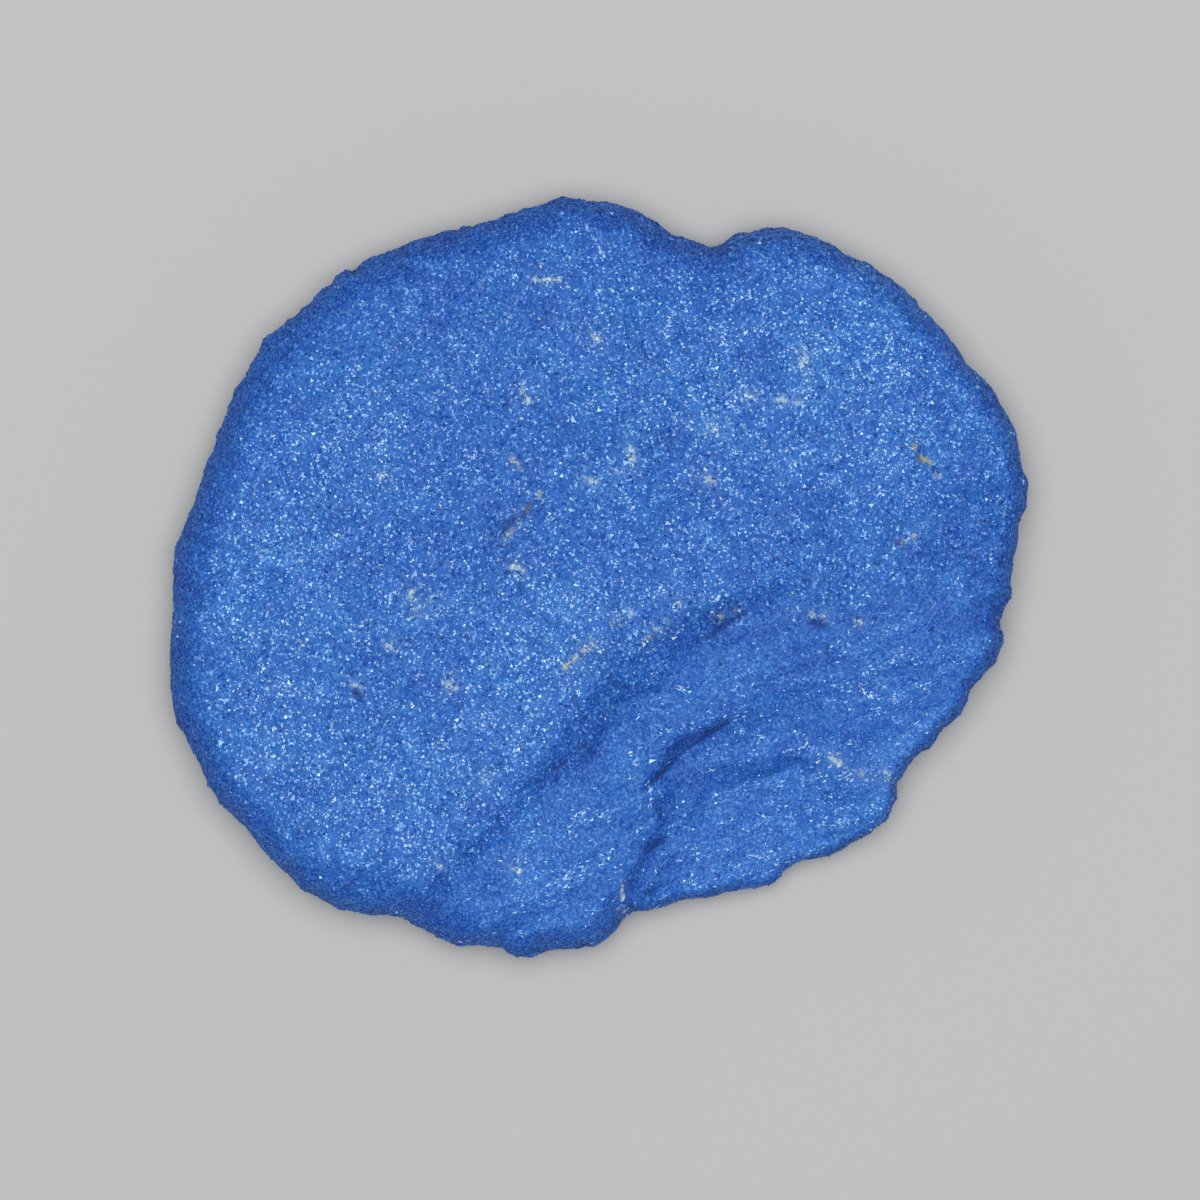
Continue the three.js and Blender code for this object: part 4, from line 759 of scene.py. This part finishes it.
def azurite(name, crystal):
    mat = bpy.data.materials.new(name)
    mat.use_nodes = True
    nt = mat.node_tree
    bsdf = nt.nodes["Principled BSDF"]
    where = node(nt, "ShaderNodeTexCoord").outputs["Object"]
    coarse, mid, fine = noise_tex(nt, where, 5.0, 4), noise_tex(nt, where, 1.1, 4), noise_tex(nt, where, 0.16, 2)
    tone_and_painted_light, clay, cream, painted_hollow_shade, slope = (attribute(nt, k) for k in ("tone_and_painted_light", "clay", "cream", "painted_hollow_shade", "slope"))
    if crystal:
        own = maths(nt, "MULTIPLY_ADD", attribute(nt, "grain"), 0.78, 0.11)
    else:
        own = maths(nt, "MULTIPLY_ADD", fine, 0.70, -0.05)
    own = maths(nt, "ADD", own, maths(nt, "MULTIPLY_ADD", mid, 0.5, -0.25))
    # Painted light and shade: the colour is lighter or darker by the GLOW patches, with random tone.
    own = maths(nt, "ADD", own, maths(nt, "MULTIPLY_ADD", tone_and_painted_light, 1.0, -0.5))
    # Painted shade: darker on steep slopes and on the back.
    own = maths(nt, "ADD", own, maths(nt, "MULTIPLY", slope, -0.30))
    colour = ramp(nt, own, DEEP_TO_LIGHT)
    greener = maths(nt, "MULTIPLY", ramp_value(nt, coarse, 0.42, 0.62), 0.5)
    colour = mix(nt, greener, colour, (0.85, 1.22, 1.04), "MULTIPLY")
    if crystal:
        tip = attribute(nt, "tip")
        # Painted highlight: the outer tips of the crystals a little lighter.
        colour = mix(nt, maths(nt, "MULTIPLY", maths(nt, "POWER", tip, 2.0), 0.12), colour, TIP_HIGHLIGHT_BLUE)
        # Pale crystals: painted glints, which are painted highlights, and the pale crystals of the marks.
        pale_glint_colour = mix(nt, cream, PALE_GLINT_BLUE, PALE_GLINT_CREAM)
        colour = mix(nt, attribute(nt, "pale_and_glint"), colour, pale_glint_colour)
    clay_colour = mix(nt, cream, mix(nt, fine, (0.14, 0.15, 0.06), (0.54, 0.50, 0.23)), mix(nt, fine, (0.32, 0.44, 0.40), (0.66, 0.80, 0.72)))
    colour = mix(nt, maths(nt, "MULTIPLY", clay, 0.95), colour, clay_colour)
    # Painted shade of cracks and pits.
    colour = mix(nt, maths(nt, "MULTIPLY", painted_hollow_shade, 0.9), colour, (0.001, 0.018, 0.16))
    nt.links.new(colour, bsdf.inputs["Base Color"])
    if crystal:
        rough = maths(nt, "MULTIPLY_ADD", attribute(nt, "gloss"), -0.45, 0.55)
        rough = maths(nt, "ADD", rough, maths(nt, "MULTIPLY_ADD", fine, 0.14, -0.04))
    else:
        rough = maths(nt, "MULTIPLY_ADD", mid, 0.3, 0.45)
    rough = maths(nt, "ADD", rough, maths(nt, "MULTIPLY", clay, 0.5))
    rough = maths(nt, "ADD", rough, maths(nt, "MULTIPLY", painted_hollow_shade, 0.35))
    nt.links.new(rough, bsdf.inputs["Roughness"])
    bsdf.inputs["IOR"].default_value = 1.74 if crystal else 1.5
    bsdf.inputs["Specular Tint"].default_value = (0.62, 0.93, 1.0, 1.0)
    bump = node(nt, "ShaderNodeBump", in_Strength=0.2 if crystal else 0.6, in_Distance=0.00004)
    grainy = noise_tex(nt, where, 0.09 if crystal else 0.22, 3)
    nt.links.new(grainy, bump.inputs["Height"])
    nt.links.new(bump.outputs["Normal"], bsdf.inputs["Normal"])
    return mat


DEEP_TO_LIGHT = [(0.0, (0.001, 0.038, 0.300)), (0.33, (0.007, 0.087, 0.405)), (0.66, (0.038, 0.155, 0.508)), (1.0, (0.108, 0.264, 0.645))]
# Lighter blue of a painted highlight on the crystal tips.
TIP_HIGHLIGHT_BLUE = (0.11, 0.30, 0.70)
# Colours of the pale crystals: painted glints, and the pale crystals of the marks.
PALE_GLINT_BLUE = (0.41, 0.65, 0.97)
PALE_GLINT_CREAM = (0.54, 0.75, 0.86)

crystal_mat = azurite("azurite_crystals", True)
body_mat = azurite("azurite_body", False)

body = make_mesh(
    "azurite_body",
    body_v,
    tris,
    {
        # Painted light and shade from the GLOW patches, with random tone.
        "tone_and_painted_light": np.clip(0.5 + 0.36 * glow, 0, 1),
        "clay": np.maximum(np.maximum(marks[0], marks[1]), marks[4]) * on_face,
        "cream": np.where(marks[4] > 0.2, 0.0, np.where(marks[1] > marks[0], 1.0, 0.4)),
        # Painted shade of the cracks.
        "painted_hollow_shade": marks[2] * on_face,
        # Painted shade: darker on steep slopes, and all over the back.
        "slope": slope,
    },
    uv,
    [body_mat],
)
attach(body, "root")
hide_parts("azurite_disc")

# The face and the whole rim are covered closely, the back by fewer and larger crystals.
mid_z = base[tris].mean(1)[:, 2]
mean_n = base_normals[tris].mean(1)
dense = tri_face | (np.abs(mean_n[:, 2]) < 0.8)
made = [body]
for label, mean_reach, mean_rise in (("a", 0.105, 0.055), ("b", 0.125, 0.075), ("c", 0.155, 0.095)):
    count = 49900
    p, n, tilted = spread(np.where(dense, 1.0, 0.0), count)
    low = smooth(step_side(p[:, 0], p[:, 1], steps[0]) / 3 + 0.2) * (n[:, 2] > 0.5)
    calm = calm_at(p[:, 0], p[:, 1]) * (n[:, 2] > 0)
    size = np.exp(rng.normal(0, 0.22, count))
    made.append(
        crystals(
            "face_crystals_" + label,
            p,
            n,
            tilted,
            mean_reach * size * (1 + 0.2 * tilted),
            np.exp(rng.normal(0.08, 0.22, count)) * (1 + 0.1 * low),
            mean_rise * size * (1 - 0.35 * low),
            (0.32 - 0.16 * low) * (1 - 0.4 * tilted) * (1 - 0.45 * calm),
            0.7 * low,
            0.25,
            0.08,
            [crystal_mat],
        )
    )
count = 49900
p, n, tilted = spread(np.where(dense, 0.0, 1.0), count)
size = np.exp(rng.normal(0, 0.3, count))
made.append(
    crystals(
        "back_crystals",
        p,
        n,
        np.full(count, 0.2),
        0.15 * size,
        np.exp(rng.normal(0.08, 0.22, count)),
        0.085 * size,
        np.full(count, 0.32),
        np.zeros(count),
        0.3,
        0.03,
        [crystal_mat],
    )
)
for ob in made[1:]:
    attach(ob, "root")

# ---------------------------------------------------------------- floor, light and camera
floor = bpy.data.meshes.new("floor")
floor.from_pydata([(-3, -3, 0), (3, -3, 0), (3, 3, 0), (-3, 3, 0)], [], [(0, 1, 2, 3)])
floor_ob = bpy.data.objects.new("floor", floor)
bpy.context.scene.collection.objects.link(floor_ob)
floor_mat = bpy.data.materials.new("floor")
floor_mat.use_nodes = True
fb = floor_mat.node_tree.nodes["Principled BSDF"]
fb.inputs["Base Color"].default_value = (0.42, 0.42, 0.42, 1)
fb.inputs["Roughness"].default_value = 0.9
fb.inputs["Specular IOR Level"].default_value = 0.1
floor.materials.append(floor_mat)
floor_ob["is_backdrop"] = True


def area_light(name, place, target, size, power, colour=(1, 1, 1)):
    data = bpy.data.lights.new(name, "AREA")
    data.shape, data.size, data.energy, data.color = "DISK", size, power, colour
    ob = bpy.data.objects.new(name, data)
    bpy.context.scene.collection.objects.link(ob)
    ob.location = place
    way = np.array(target, float) - np.array(place, float)
    from mathutils import Vector

    ob.rotation_mode = "QUATERNION"
    ob.rotation_quaternion = Vector(way).to_track_quat("-Z", "Y")
    return ob


area_light("overhead", (0.0, 0.03, 0.80), (0, 0, 0), 0.74, 7.9)

world = bpy.data.worlds.new("studio")
world.use_nodes = True
world.node_tree.nodes["Background"].inputs["Color"].default_value = (0.95, 0.97, 1.0, 1)
world.node_tree.nodes["Background"].inputs["Strength"].default_value = 0.26
bpy.context.scene.world = world

camera_data = bpy.data.cameras.new("camera")
camera_data.sensor_width = 36
camera_data.lens = 150
camera_data.clip_start, camera_data.clip_end = 0.01, 50
camera = bpy.data.objects.new("camera", camera_data)
bpy.context.scene.collection.objects.link(camera)
camera.location = (0.00005, -0.00193, 0.4200 + 0.0035)
camera.rotation_euler = (0, 0, 0)
bpy.context.scene.camera = camera
bpy.context.scene.view_settings.view_transform = "Standard"
bpy.context.scene.view_settings.look = "None"

low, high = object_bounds()
